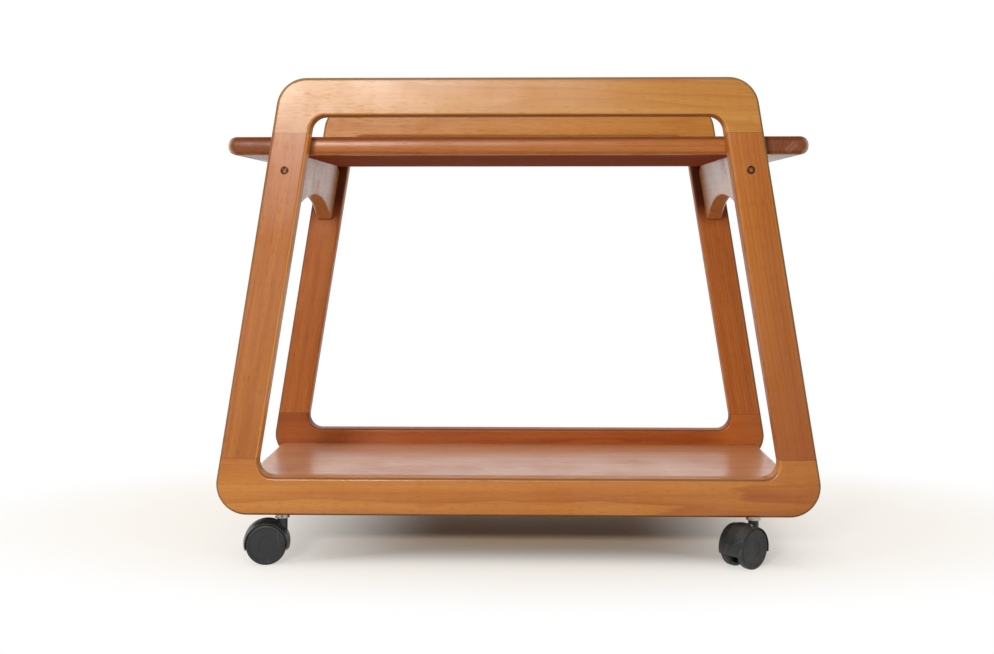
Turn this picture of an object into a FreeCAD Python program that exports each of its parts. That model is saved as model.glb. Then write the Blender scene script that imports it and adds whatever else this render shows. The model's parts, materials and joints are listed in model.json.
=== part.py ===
import FreeCAD, Part
from collections import namedtuple
from types import SimpleNamespace
import math
import os
import Sketcher

# Drop leaf tea trolley: two splayed frames, arched cross rails, a tray with a leaf at each end,
# a lower shelf and four twin-wheel castors.
# X runs along the tray, Y from front to rear and Z up from the floor, with the origin below the middle.

# Driving dimensions, in millimetres
SIZES = {
    # Frames, measured to the sharp corners before they are rounded
    "frame_height": 543,
    "foot_width": 761.2,
    "head_width": 586,
    "trolley_depth": 400,
    "frame_thickness": 25,
    "leg_width": 47,
    "top_rail_height": 48,
    "bottom_rail_height": 47,
    "outer_corner_radius": 38,
    "inner_corner_radius": 19,
    "upper_joint_land": 5,
    "lower_joint_land": 2,
    "edge_round": 4,
    # Tray and leaves
    "tray_length": 730,
    "tray_thickness": 23,
    "tray_gap": 2,
    "grip_gap": 23.5,
    "lipping_width": 12,
    "lipping_round": 4,
    "leaf_nose_round": 10.5,
    "leaf_edge_round": 3,
    "leaf_round_share": 0.45,
    "seam_gap": 0.4,
    # Cross rails
    "cross_rail_thickness": 22,
    "cross_rail_depth": 79.5,
    "cross_rail_round": 2.5,
    "arch_rise": 33,
    "arch_land": 8,
    "relief_length": 38,
    "relief_drop": 9,
    # Lower shelf
    "shelf_length": 732,
    "shelf_thickness": 18,
    "shelf_drop": 22,
    "shelf_lipping_width": 16,
    "shelf_nose_round": 8,
    # Dowels
    "dowel_diameter": 8,
    "dowel_length": 30,
    "dowel_clearance": 0.05,
    "dowel_end_gap": 0.5,
    "top_dowel_length": 22,
    "rail_dowel_drop": 52,
    # Cross rail bolts and their barrel nuts
    "bolt_drop": 20.5,
    "bolt_diameter": 6,
    "bolt_head_diameter": 10,
    "bolt_head_height": 3,
    "bolt_head_round": 0.8,
    "bolt_head_recess": 0.8,
    "bolt_slot_width": 1.6,
    "bolt_slot_depth": 1.4,
    "bolt_tail": 4,
    "bolt_clearance": 0.1,
    "nut_diameter": 10,
    "nut_length": 14,
    "bolt_screw_gap": 14.4,
    # Butt hinges and their screws
    "hinge_length": 50,
    "hinge_spacing": 210,
    "knuckle_radius": 3,
    "hinge_clearance": 0.4,
    "plate_thickness": 1.8,
    "plate_reach": 22,
    "pin_diameter": 3,
    "pin_clearance": 0.05,
    "screw_head_diameter": 6,
    "screw_shank_diameter": 3.2,
    "screw_head_depth": 1.4,
    "screw_length": 14,
    "screw_tip": 3,
    "screw_clearance": 0.05,
    "screw_spacing": 30,
    "screw_reach": 14,
    # Castors
    "castor_inset": 87.6,
    "castor_headroom": 6.3,
    "wheel_diameter": 50,
    "wheel_width": 11,
    "wheel_trail": 19,
    "wheel_clearance": 0.5,
    "wheel_edge_round": 3,
    "wheel_rim": 4,
    "wheel_disc": 3,
    "wheel_dish": 0.8,
    "wheel_cap_diameter": 20,
    "wheel_cap_recess": 0.5,
    "wheel_hub_diameter": 12,
    "web_width": 13,
    "hood_gap": 1.2,
    "hood_wall": 2.5,
    "hood_drop": 6.5,
    "hood_crown": 2.3,
    "hood_tuck": 0.8,
    "hood_edge_round": 0.4,
    "neck_diameter": 13,
    "swivel_gap": 0.5,
    "collar_diameter": 18,
    "collar_height": 4.5,
    "socket_diameter": 12,
    "socket_depth": 32,
    "socket_cap": 1.5,
    "stem_diameter": 9,
    "stem_seat": 23,
    "stem_end_gap": 1,
    "stem_groove": 2,
    "stem_groove_depth": 0.8,
    "running_clearance": 0.05,
    "press_clearance": 0.02,
    "axle_diameter": 6,
    "axle_end_gap": 0.5,
    # Cuts run this far past the faces they open, and faces this close count as one
    "overrun": 2,
    "near": 0.001,
    # Places as shares of the size that carries them
    "top_dowel_share": 0.4,
    "shelf_dowel_inner_share": 0.287,
    "shelf_dowel_outer_share": 0.85,
    "knuckle_share": 0.36,
    # Castor headings as shares of a full turn from +X
    "front_left_heading_share": 0.519,
    "front_right_heading_share": 0.617,
    "rear_left_heading_share": 0.481,
    "rear_right_heading_share": 0.383,
}

doc = FreeCAD.newDocument("tea_trolley")
sheet = doc.addObject("Spreadsheet::Sheet", "Sizes")
for row, (alias, number) in enumerate(SIZES.items(), start=1):
    sheet.set(f"A{row}", str(number))
    sheet.setAlias(f"A{row}", alias)
doc.recompute()


class Size:
    """A value together with the sheet expression that gives it."""

    def __init__(self, value, text):
        self.value = value
        self.text = text

    def __add__(self, other):
        other = sized(other)
        return Size(self.value + other.value, f"({self.text} + {other.text})")

    def __sub__(self, other):
        other = sized(other)
        return Size(self.value - other.value, f"({self.text} - {other.text})")

    def __rsub__(self, other):
        return sized(other) - self

    def __mul__(self, other):
        other = sized(other)
        return Size(self.value * other.value, f"({self.text} * {other.text})")

    def __truediv__(self, other):
        other = sized(other)
        return Size(self.value / other.value, f"({self.text} / {other.text})")

    def __neg__(self):
        return self * -1


Arc = namedtuple("Arc", "radius turn large")


def sized(amount):
    """Give a plain number the form of a Size."""
    return amount if isinstance(amount, Size) else Size(amount, f"({amount})")


def root(amount):
    """Square root of a Size."""
    return Size(math.sqrt(amount.value), f"sqrt({amount.text})")


def smaller(first, second):
    """The smaller of two Sizes."""
    return Size(min(first.value, second.value), f"min({first.text}; {second.text})")


given = SimpleNamespace(**{alias: Size(number, f"Sizes.{alias}") for alias, number in SIZES.items()})
ZERO = sized(0)
HANDS = {"left": -1, "right": 1}
SIDES = {"front": -1, "rear": 1}
UPRIGHT = FreeCAD.Rotation()
Z_AXIS = FreeCAD.Vector(0, 0, 1)

# Levels, from the castors upwards
wheel_radius = given.wheel_diameter / 2
hood_radius = wheel_radius + given.hood_gap + given.hood_wall
frame_foot = wheel_radius + hood_radius + given.castor_headroom
frame_top = frame_foot + given.frame_height
top_rail_foot = frame_top - given.top_rail_height
bottom_rail_top = frame_foot + given.bottom_rail_height
tray_top = top_rail_foot - given.grip_gap
tray_underside = tray_top - given.tray_thickness
shelf_top = bottom_rail_top - given.shelf_drop
shelf_middle = shelf_top - given.shelf_thickness / 2

# Splay of the legs, as a slope, with its secant, sine and cosine
splay = (given.foot_width - given.head_width) / 2 / given.frame_height
splay_stretch = root(splay * splay + 1)
splay_sine = splay / splay_stretch
splay_cosine = sized(1) / splay_stretch
upper_joint = top_rail_foot - given.inner_corner_radius * (1 - splay_sine) - given.upper_joint_land
lower_joint = bottom_rail_top + given.inner_corner_radius * (splay_sine + 1) + given.lower_joint_land

# Depths from the middle of the trolley
frame_middle = given.trolley_depth / 2 - given.frame_thickness / 2
frame_inside = given.trolley_depth / 2 - given.frame_thickness
tray_side = frame_inside - given.tray_gap


def outer_edge(level):
    """Half the width of a frame at a level, to its outer edge."""
    return given.foot_width / 2 - splay * (level - frame_foot)


def inner_edge(level):
    """Half the width of a frame's opening at a level."""
    return outer_edge(level) - given.leg_width


def leg_middle(level):
    """Distance of a leg's centre line from the middle at a level."""
    return outer_edge(level) - given.leg_width / 2


# Hinge axis, in the corner between a leaf's underside and its cross rail's outer face
cross_rail_half = given.cross_rail_thickness / 2 * splay_stretch
hinge_offset = given.knuckle_radius + given.hinge_clearance
hinge_level = tray_underside - hinge_offset
hinge_reach = leg_middle(hinge_level) + cross_rail_half + hinge_offset * splay_stretch
panel_end = hinge_reach - given.seam_gap / 2
leaf_start = hinge_reach + given.seam_gap / 2

# Castor levels and places
socket_top = frame_foot + given.socket_depth
collar_foot = frame_foot - given.collar_height
neck_top = collar_foot - given.swivel_gap
stem_reach = given.foot_width / 2 - given.castor_inset
wheel_inside = given.web_width / 2 + given.wheel_clearance
wheel_outside = wheel_inside + given.wheel_width

pieces = {}


def bind(item, prop, amount):
    """Tie a property to the sheet."""
    item.setExpression(prop, amount.text)


def place(item, x, y, z, rotation=UPRIGHT):
    """Put an object at a point given in sheet sizes."""
    spot = [sized(amount) for amount in (x, y, z)]
    item.Placement = FreeCAD.Placement(FreeCAD.Vector(*[amount.value for amount in spot]), rotation)
    for axis, amount in zip("xyz", spot):
        bind(item, f"Placement.Base.{axis}", amount)
    return item


def turn_to(x, y, z):
    """Rotation that carries +Z to a direction."""
    return FreeCAD.Rotation(Z_AXIS, FreeCAD.Vector(x, y, z))


def keep(label, item):
    """Name an object as one of the trolley's pieces."""
    item.Label = label
    pieces[label] = item
    return item


def group(name, items):
    """Join separate objects in one compound."""
    compound = doc.addObject("Part::Compound", name)
    compound.Links = items
    return compound


def drilled(name, base, drills):
    """Cut drills out of an object."""
    cut = doc.addObject("Part::Cut", name)
    cut.Base = base
    cut.Tool = drills
    return cut


def new_body(name):
    """Start a body."""
    return doc.addObject("PartDesign::Body", name)


def new_sketch(body, role, shift=None):
    """Start a sketch on one of a body's own planes, moved along the plane's normal if asked."""
    plane = next(item for item in body.Origin.OriginFeatures if item.Role == role)
    sketch = body.newObject("Sketcher::SketchObject", "outline")
    sketch.AttachmentSupport = [(plane, "")]
    sketch.MapMode = "FlatFace"
    if shift is not None:
        bind(sketch, "AttachmentOffset.Base.z", shift)
    return sketch


def fix(sketch, kind, amount, index, end, axis):
    """Hold one coordinate of a point at a size from the origin."""
    if amount.value == 0:
        sketch.addConstraint(Sketcher.Constraint("PointOnObject", index, end, axis))
        return
    ends = (-1, 1, index, end) if amount.value > 0 else (index, end, -1, 1)
    length = amount if amount.value > 0 else -amount
    number = sketch.addConstraint(Sketcher.Constraint(kind, *ends, length.value))
    sketch.setExpression(f"Constraints[{number}]", length.text)


def fix_point(sketch, point, index, end):
    """Hold both coordinates of a point."""
    fix(sketch, "DistanceX", point[0], index, end, -2)
    fix(sketch, "DistanceY", point[1], index, end, -1)


def fix_radius(sketch, radius, index):
    """Hold the radius of an arc or circle."""
    number = sketch.addConstraint(Sketcher.Constraint("Radius", index, radius.value))
    sketch.setExpression(f"Constraints[{number}]", radius.text)


def spot_of(point):
    """Point of a sketch as a vector."""
    return FreeCAD.Vector(point[0].value, point[1].value, 0)


def arc_between(start, finish, arc):
    """Circular arc from one point to the next, counter-clockwise for a positive turn."""
    chord = finish - start
    across = FreeCAD.Vector(-chord.y, chord.x, 0).normalize()
    rise = math.sqrt(arc.radius.value ** 2 - chord.Length ** 2 / 4)
    side = -arc.turn if arc.large else arc.turn
    centre = (start + finish) / 2 + across * rise * side
    first, last = (start, finish) if arc.turn > 0 else (finish, start)
    angles = [math.atan2(spot.y - centre.y, spot.x - centre.x) for spot in (first, last)]
    if angles[1] < angles[0]:
        angles[1] += 2 * math.pi
    return Part.ArcOfCircle(Part.Circle(centre, Z_AXIS, arc.radius.value), *angles)


def outline(body, role, points, arcs=None, shift=None):
    """Closed sketch through points, with straight runs except where an arc is given."""
    arcs = arcs or {}
    points = [(sized(first), sized(second)) for first, second in points]
    sketch = new_sketch(body, role, shift)
    count = len(points)
    ends = []
    for index in range(count):
        start = spot_of(points[index])
        finish = spot_of(points[(index + 1) % count])
        arc = arcs.get(index)
        run = arc_between(start, finish, arc) if arc else Part.LineSegment(start, finish)
        sketch.addGeometry(run, False)
        ends.append((2, 1) if arc and arc.turn < 0 else (1, 2))
    for index in range(count):
        following = (index + 1) % count
        link = (index, ends[index][1], following, ends[following][0])
        sketch.addConstraint(Sketcher.Constraint("Coincident", *link))
    for index, point in enumerate(points):
        fix_point(sketch, point, index, ends[index][0])
    for index, arc in arcs.items():
        fix_radius(sketch, arc.radius, index)
    return sketch


def disc(body, role, centre, radius, shift=None):
    """Sketch of one circle."""
    centre = (sized(centre[0]), sized(centre[1]))
    sketch = new_sketch(body, role, shift)
    sketch.addGeometry(Part.Circle(spot_of(centre), Z_AXIS, radius.value), False)
    fix_radius(sketch, radius, 0)
    # The third point of a circle is its centre
    if centre[0].value == 0 and centre[1].value == 0:
        sketch.addConstraint(Sketcher.Constraint("Coincident", 0, 3, -1, 1))
    else:
        fix_point(sketch, centre, 0, 3)
    return sketch


def pad(body, sketch, length, side="Symmetric"):
    """Raise a sketch to a thickness."""
    feature = body.newObject("PartDesign::Pad", "board")
    feature.Profile = sketch
    feature.SideType = side
    bind(feature, "Length", length)
    return feature


def pocket(body, sketch, length, side="Symmetric"):
    """Cut a sketch out of a body, and check that it took something away."""
    doc.recompute()
    before = body.Shape.Volume
    feature = body.newObject("PartDesign::Pocket", "cut")
    feature.Profile = sketch
    feature.SideType = side
    bind(feature, "Length", length)
    doc.recompute()
    if not body.Shape.Volume < before:
        raise RuntimeError(f"a cut in {body.Name} removes nothing")
    return feature


def round_edges(body, radius, wanted):
    """Round the edges that a test picks from the body so far."""
    doc.recompute()
    base = body.Tip
    edges = enumerate(base.Shape.Edges, start=1)
    names = [f"Edge{number}" for number, edge in edges if wanted(edge.BoundBox)]
    feature = body.newObject("PartDesign::Fillet", "round")
    feature.Base = (base, names)
    bind(feature, "Radius", radius)
    return feature


def close(first, second):
    """Whether two numbers are one place."""
    return abs(first - sized(second).value) < given.near.value


def turned(name, points, arcs=None):
    """Body turned about its own Z axis from a half profile of radius and height."""
    body = new_body(name)
    sketch = outline(body, "XZ_Plane", points, arcs)
    feature = body.newObject("PartDesign::Revolution", "turning")
    feature.Profile = sketch
    feature.ReferenceAxis = (sketch, ["V_Axis"])
    return body


def rod(name, radius, length, centre, rotation=UPRIGHT):
    """Cylinder of a length about its centre."""
    bar = doc.addObject("Part::Cylinder", name)
    bar.FirstAngle = 0
    bind(bar, "Radius", radius)
    bind(bar, "Height", length)
    along = rotation.multVec(Z_AXIS)
    start = [sized(amount) - length / 2 * step for amount, step in zip(centre, along)]
    return place(bar, *start, rotation)


# Directions that rods and bolts lie along
ALONG_X = turn_to(1, 0, 0)
ALONG_Y = turn_to(0, 1, 0)

# Dowels and their holes
dowel_radius = given.dowel_diameter / 2
joinery = []


def dowel(name, centre, rotation, length=given.dowel_length):
    """One dowel, with its hole added to the joinery."""
    hole_radius = dowel_radius + given.dowel_clearance
    joinery.append(rod(f"{name}_hole", hole_radius, length + given.dowel_end_gap * 2, centre, rotation))
    return rod(name, dowel_radius, length, centre, rotation)


leg_dowels = []
cross_dowels = []
top_dowels = []
shelf_dowels = []
bolts = []
nuts = []
bolt_level = tray_underside - given.bolt_drop
bolt_reach = leg_middle(bolt_level)
rail_dowel_level = tray_underside - given.rail_dowel_drop
# The bolts end short of the outer hinge screws, and their nuts stand where the tails leave off
outer_screw = given.hinge_spacing / 2 + given.screw_spacing / 2 + given.screw_shank_diameter / 2
bolt_tip = outer_screw + given.bolt_screw_gap
nut_inset = frame_inside - bolt_tip - given.bolt_tail - given.nut_diameter / 2
bolt_length = given.frame_thickness - given.bolt_head_height - given.bolt_head_recess
bolt_length = bolt_length + nut_inset + given.nut_diameter / 2 + given.bolt_tail
bolt_radius = given.bolt_diameter / 2
bolt_head_radius = given.bolt_head_diameter / 2
head_seat = given.trolley_depth / 2 - given.bolt_head_recess - given.bolt_head_height
nut_bore = given.nut_length + given.cross_rail_thickness


def bolt(name, hand, side):
    """Slotted bolt through a leg, with its bored seat and its barrel nut."""
    outwards = turn_to(0, side, 0)
    body = turned(name, [
        (0, -bolt_length), (bolt_radius, -bolt_length), (bolt_radius, 0),
        (bolt_head_radius, 0), (bolt_head_radius, given.bolt_head_height), (0, given.bolt_head_height),
    ])
    round_edges(body, given.bolt_head_round, lambda box: close(box.ZMin, given.bolt_head_height)
                and close(box.ZMax, given.bolt_head_height) and box.XLength > given.bolt_diameter.value)
    slot_half = given.bolt_slot_width / 2
    slot_reach = bolt_head_radius + given.overrun
    slot = outline(body, "XY_Plane", [
        (-slot_reach, -slot_half), (slot_reach, -slot_half),
        (slot_reach, slot_half), (-slot_reach, slot_half),
    ], shift=given.bolt_head_height)
    pocket(body, slot, given.bolt_slot_depth, "One side")
    spot = (bolt_reach * hand, head_seat * side, bolt_level)
    place(body, *spot, outwards)
    hole = bolt_radius + given.bolt_clearance
    seat = bolt_head_radius + given.bolt_clearance
    hole_end = -bolt_length - given.dowel_end_gap
    seat_mouth = given.bolt_head_height + given.overrun
    drill = turned(f"{name}_hole", [
        (0, hole_end), (hole, hole_end), (hole, 0), (seat, 0), (seat, seat_mouth), (0, seat_mouth),
    ])
    joinery.append(place(drill, *spot, outwards))
    nut_depth = (frame_inside - nut_inset) * side
    nut_radius = given.nut_diameter / 2
    nut_spot = (spot[0], nut_depth, bolt_level)
    blank = rod(f"{name}_nut_blank", nut_radius, given.nut_length, nut_spot, ALONG_X)
    thread = rod(f"{name}_thread", hole, given.nut_diameter + given.overrun, nut_spot, ALONG_Y)
    nuts.append(drilled(f"{name}_nut", blank, thread))
    bore_shift = nut_bore / 2 - given.nut_length / 2 - given.dowel_end_gap
    bore_spot = ((bolt_reach + bore_shift) * hand, nut_depth, bolt_level)
    joinery.append(rod(f"{name}_nut_hole", nut_radius + given.dowel_clearance, nut_bore, bore_spot, ALONG_X))
    return body


for side_name, side in SIDES.items():
    for hand_name, hand in HANDS.items():
        corner = f"{side_name}_{hand_name}"
        for level in (lower_joint, upper_joint):
            for step in (-1, 1):
                reach = leg_middle(level) + given.leg_width / 4 * step
                leg_dowels.append(dowel("leg_dowel", (reach * hand, frame_middle * side, level), UPRIGHT))
        rail_dowel_spot = (leg_middle(rail_dowel_level) * hand, frame_inside * side, rail_dowel_level)
        cross_dowels.append(dowel("cross_rail_dowel", rail_dowel_spot, ALONG_Y))
        top_depth = tray_side * given.top_dowel_share * side
        top_spot = (leg_middle(tray_underside) * hand, top_depth, tray_underside)
        top_dowels.append(dowel("top_dowel", top_spot, UPRIGHT, given.top_dowel_length))
        for share in (given.shelf_dowel_inner_share, given.shelf_dowel_outer_share):
            shelf_spot = (stem_reach * share * hand, frame_inside * side, shelf_middle)
            shelf_dowels.append(dowel("shelf_dowel", shelf_spot, ALONG_Y))
        bolts.append(bolt(f"{corner}_bolt", hand, side))

keep("leg_dowels", group("leg_dowel_set", leg_dowels))
keep("cross_rail_dowels", group("cross_rail_dowel_set", cross_dowels))
keep("top_panel_dowels", group("top_panel_dowel_set", top_dowels))
keep("shelf_dowels", group("shelf_dowel_set", shelf_dowels))
keep("cross_rail_bolts", group("cross_rail_bolt_set", bolts))
keep("cross_rail_barrel_nuts", group("cross_rail_nut_set", nuts))


# Castors
def heading_of(corner):
    """Angle of a castor's trail from +X, in radians."""
    return SIZES[f"{corner}_heading_share"] * 2 * math.pi


def castor_socket(name):
    """Sleeve pressed into a bottom rail, with the bright collar that shows below it."""
    inner = given.stem_diameter / 2 + given.running_clearance
    outer = given.socket_diameter / 2
    collar = given.collar_diameter / 2
    return turned(name, [
        (inner, collar_foot), (collar, collar_foot), (collar, frame_foot), (outer, frame_foot),
        (outer, socket_top), (0, socket_top), (0, socket_top - given.socket_cap),
        (inner, socket_top - given.socket_cap),
    ])


def castor_stem(name):
    """Grooved steel stem, pressed into the hood and free to turn in the socket."""
    radius = given.stem_diameter / 2
    waist = radius - given.stem_groove_depth
    foot = neck_top - given.stem_seat
    tip = socket_top - given.socket_cap - given.stem_end_gap
    groove_top = tip - given.stem_groove
    groove_foot = groove_top - given.stem_groove
    return turned(name, [
        (0, foot), (radius, foot), (radius, groove_foot), (waist, groove_foot), (waist, groove_top),
        (radius, groove_top), (waist, tip), (0, tip),
    ])


def castor_hood(name):
    """Hood of a twin-wheel castor: a crowned band over both wheels on a central web, with the stem's neck."""
    body = new_body(name)
    trail = given.wheel_trail
    hood_foot = wheel_radius - given.hood_drop
    well_radius = wheel_radius + given.hood_gap
    well_end = well_radius - given.hood_tuck
    band_end = hood_radius - given.hood_crown
    crown_half = given.web_width / 2
    band = outline(body, "XY_Plane", [
        (well_radius, -crown_half), (well_end, -wheel_outside), (band_end, -wheel_outside),
        (hood_radius, -crown_half), (hood_radius, crown_half), (band_end, wheel_outside),
        (well_end, wheel_outside), (well_radius, crown_half),
    ], shift=wheel_radius)
    bind(band, "AttachmentOffset.Base.x", trail)
    ring = body.newObject("PartDesign::Revolution", "turning")
    ring.Profile = band
    ring.ReferenceAxis = (band, ["V_Axis"])
    round_edges(body, given.hood_edge_round, lambda box: close(box.ZMax, wheel_radius + band_end)
                and box.YLength < given.near.value)
    reach = hood_radius + given.overrun
    below = outline(body, "XZ_Plane", [
        (trail - reach, wheel_radius - reach), (trail + reach, wheel_radius - reach),
        (trail + reach, hood_foot), (trail - reach, hood_foot),
    ])
    pocket(body, below, wheel_outside * 2 + given.overrun)
    outer_half = root(hood_radius * hood_radius - given.hood_drop * given.hood_drop)
    web = outline(body, "XZ_Plane", [
        (trail + outer_half, hood_foot), (trail - outer_half, hood_foot),
    ], {0: Arc(hood_radius, 1, True)})
    pad(body, web, given.web_width)
    neck = disc(body, "XY_Plane", (0, 0), given.neck_diameter / 2, wheel_radius)
    pad(body, neck, neck_top - wheel_radius, "One side")
    axle_hole = disc(body, "XZ_Plane", (trail, wheel_radius), given.axle_diameter / 2 + given.press_clearance)
    pocket(body, axle_hole, given.web_width + given.overrun)
    stem_hole = disc(body, "XY_Plane", (0, 0), given.stem_diameter / 2 + given.press_clearance, neck_top)
    pocket(body, stem_hole, given.stem_seat, "One side")
    return body


def castor_wheel(name):
    """Hollow wheel with a closed, dished face, turned about its axle; it stands on the axle's +Z side."""
    bore = given.axle_diameter / 2 + given.running_clearance
    hub = given.wheel_hub_diameter / 2
    rim = wheel_radius - given.wheel_rim
    cap = given.wheel_cap_diameter / 2
    disc_back = wheel_outside - given.wheel_disc
    dish_floor = wheel_outside - given.wheel_dish
    cap_floor = dish_floor - given.wheel_cap_recess
    body = turned(name, [
        (bore, wheel_inside), (hub, wheel_inside), (hub, disc_back), (rim, disc_back), (rim, wheel_inside),
        (wheel_radius, wheel_inside), (wheel_radius, wheel_outside), (rim, wheel_outside),
        (rim - given.wheel_dish, dish_floor), (cap, dish_floor), (cap - given.wheel_cap_recess, cap_floor),
        (0, cap_floor), (0, disc_back), (bore, disc_back),
    ])
    round_edges(body, given.wheel_edge_round, lambda box: close(box.XMax, wheel_radius)
                and box.ZLength < given.near.value)
    return body


axle_half = wheel_outside - given.wheel_disc - given.axle_end_gap
for side_name, side in SIDES.items():
    for hand_name, hand in HANDS.items():
        corner = f"{side_name}_{hand_name}"
        heading = heading_of(corner)
        ahead = (math.cos(heading), math.sin(heading))
        across = (-ahead[1], ahead[0])
        facing = FreeCAD.Rotation(Z_AXIS, math.degrees(heading))
        stem_spot = (stem_reach * hand, frame_middle * side)
        axle_spot = (stem_spot[0] + given.wheel_trail * ahead[0],
                     stem_spot[1] + given.wheel_trail * ahead[1], wheel_radius)
        keep(f"{corner}_castor_socket", place(castor_socket("socket"), *stem_spot, ZERO))
        keep(f"{corner}_castor_stem", place(castor_stem("stem"), *stem_spot, ZERO, facing))
        keep(f"{corner}_castor_hood", place(castor_hood("hood"), *stem_spot, ZERO, facing))
        axle = rod("axle", given.axle_diameter / 2, axle_half * 2, axle_spot, turn_to(*across, 0))
        keep(f"{corner}_castor_axle", axle)
        for count, way in (("one", 1), ("two", -1)):
            wheel = castor_wheel("wheel")
            place(wheel, *axle_spot, turn_to(across[0] * way, across[1] * way, 0))
            keep(f"{corner}_castor_wheel_{count}", wheel)
        bore_depth = given.socket_depth + given.dowel_end_gap
        bore_spot = (*stem_spot, frame_foot + bore_depth / 2 - given.overrun / 2)
        bore_radius = given.socket_diameter / 2 + given.press_clearance
        joinery.append(rod("socket_hole", bore_radius, bore_depth + given.overrun, bore_spot))

# Leaf hinges
axis_reach = {hand: hinge_reach * hand for hand in HANDS.values()}
plate_back = hinge_offset
plate_face = hinge_offset - given.plate_thickness
knuckle_length = given.hinge_length * given.knuckle_share
screw_head_radius = given.screw_head_diameter / 2
screw_radius = given.screw_shank_diameter / 2


class Plate:
    """One plate of a butt hinge, drawn along its own direction and towards the wood behind it."""

    def __init__(self, hand, along, behind, turn):
        self.hand = hand
        self.along = along
        self.behind = behind
        self.turn = turn

    def spot(self, out, back):
        """Point at a distance out along the plate and back towards the wood."""
        x = axis_reach[self.hand] + self.along[0] * out + self.behind[0] * back
        z = hinge_level + self.along[1] * out + self.behind[1] * back
        return x, z

    def build(self, name, depth, notches):
        """Rolled plate with its knuckles, cut away over the stretches of the other plate's knuckles."""
        body = new_body(name)
        radius = given.knuckle_radius
        meet = root(radius * radius - plate_face * plate_face)
        points = [(ZERO, plate_back), (given.plate_reach, plate_back), (given.plate_reach, plate_face),
                  (meet, plate_face), (ZERO, radius)]
        profile = outline(body, "XZ_Plane", [self.spot(*point) for point in points],
                          {3: Arc(radius, -self.turn, True)})
        pad(body, profile, given.hinge_length)
        far = hinge_offset + given.overrun
        for middle, length in notches:
            corners = [(-far, -far), (hinge_offset, -far), (hinge_offset, far), (-far, far)]
            notch = outline(body, "XZ_Plane", [self.spot(*point) for point in corners], shift=middle)
            pocket(body, notch, length)
        pin_hole = disc(body, "XZ_Plane", self.spot(ZERO, ZERO), given.pin_diameter / 2 + given.pin_clearance)
        pocket(body, pin_hole, given.hinge_length + given.overrun)
        return place(body, ZERO, depth, ZERO)

    def screw(self, name, depth):
        """Countersunk screw through the plate into the wood, and the hole it needs."""
        x, z = self.spot(given.screw_reach, plate_face)
        inwards = turn_to(sized(self.behind[0]).value, 0, sized(self.behind[1]).value)
        head, shank, clear = screw_head_radius, screw_radius, given.screw_clearance
        shoulder = given.screw_length - given.screw_tip
        body = turned(name, [(0, 0), (head, 0), (shank, given.screw_head_depth), (shank, shoulder),
                             (0, given.screw_length)])
        deep = given.screw_length + given.dowel_end_gap
        hole = turned(f"{name}_hole", [
            (0, -given.overrun), (head + clear, -given.overrun), (head + clear, 0),
            (shank + clear, given.screw_head_depth), (shank + clear, deep), (0, deep),
        ])
        return place(body, x, depth, z, inwards), place(hole, x, depth, z, inwards)


def hinge_set(hand_name, part_name, plate, notches):
    """Both plates of one kind on a leaf, with their screws."""
    plates = []
    screws = []
    for end in (-1, 1):
        middle = given.hinge_spacing / 2 * end
        blank = plate.build(f"{hand_name}_{part_name}_blank", middle, notches)
        holes = []
        for step in (-1, 1):
            screw, hole = plate.screw(f"{part_name}_screw", middle + given.screw_spacing / 2 * step)
            screws.append(screw)
            holes.append(hole)
        plates.append(drilled(f"{part_name}_plate", blank, group("screw_holes", holes)))
        joinery.extend(holes)
    keep(f"{hand_name}_hinge_{part_name}_plates", group(f"{part_name}_plate_set", plates))
    keep(f"{hand_name}_hinge_{part_name}_screws", group(f"{part_name}_screw_set", screws))


end_notch = given.hinge_length / 2 + given.overrun - knuckle_length / 2
end_middle = knuckle_length / 2 + end_notch / 2
for hand_name, hand in HANDS.items():
    rail_plate = Plate(hand, (splay_sine * hand, -splay_cosine), (-splay_cosine * hand, -splay_sine), -hand)
    leaf_plate = Plate(hand, (sized(hand), ZERO), (ZERO, sized(1)), hand)
    hinge_set(hand_name, "rail", rail_plate, [(ZERO, knuckle_length + given.hinge_clearance * 2)])
    hinge_set(hand_name, "leaf", leaf_plate, [(-end_middle, end_notch), (end_middle, end_notch)])
    pins = [rod("hinge_pin", given.pin_diameter / 2, given.hinge_length,
                (axis_reach[hand], given.hinge_spacing / 2 * end, hinge_level), ALONG_Y) for end in (-1, 1)]
    keep(f"{hand_name}_hinge_pins", group("hinge_pin_set", pins))

# Every hole bored in the wood
drills = group("joinery_drills", joinery)


def wooden(label, blank):
    """A wooden piece with its joinery bored."""
    return keep(label, drilled(f"{label}_bored", blank, drills))


# Frames
def frame_board(name, side, points, corners, butts):
    """Board of a frame, with its corners and long edges rounded up to its butt joints."""
    body = new_body(name)
    pad(body, outline(body, "XZ_Plane", points), given.frame_thickness)
    for level, radius in corners:
        round_edges(body, radius, lambda box: close(box.ZMin, level) and close(box.ZMax, level)
                    and box.YLength > given.near.value and box.XLength < given.near.value)
    round_edges(body, given.edge_round, lambda box: box.YLength < given.near.value
                and not any(close(box.ZMin, butt) and close(box.ZMax, butt) for butt in butts))
    return place(body, ZERO, frame_middle * side, ZERO)


def mirrored(points):
    """Points of one half of an outline, then the same points of the other half."""
    return points + [(-x, z) for x, z in reversed(points)]


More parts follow.
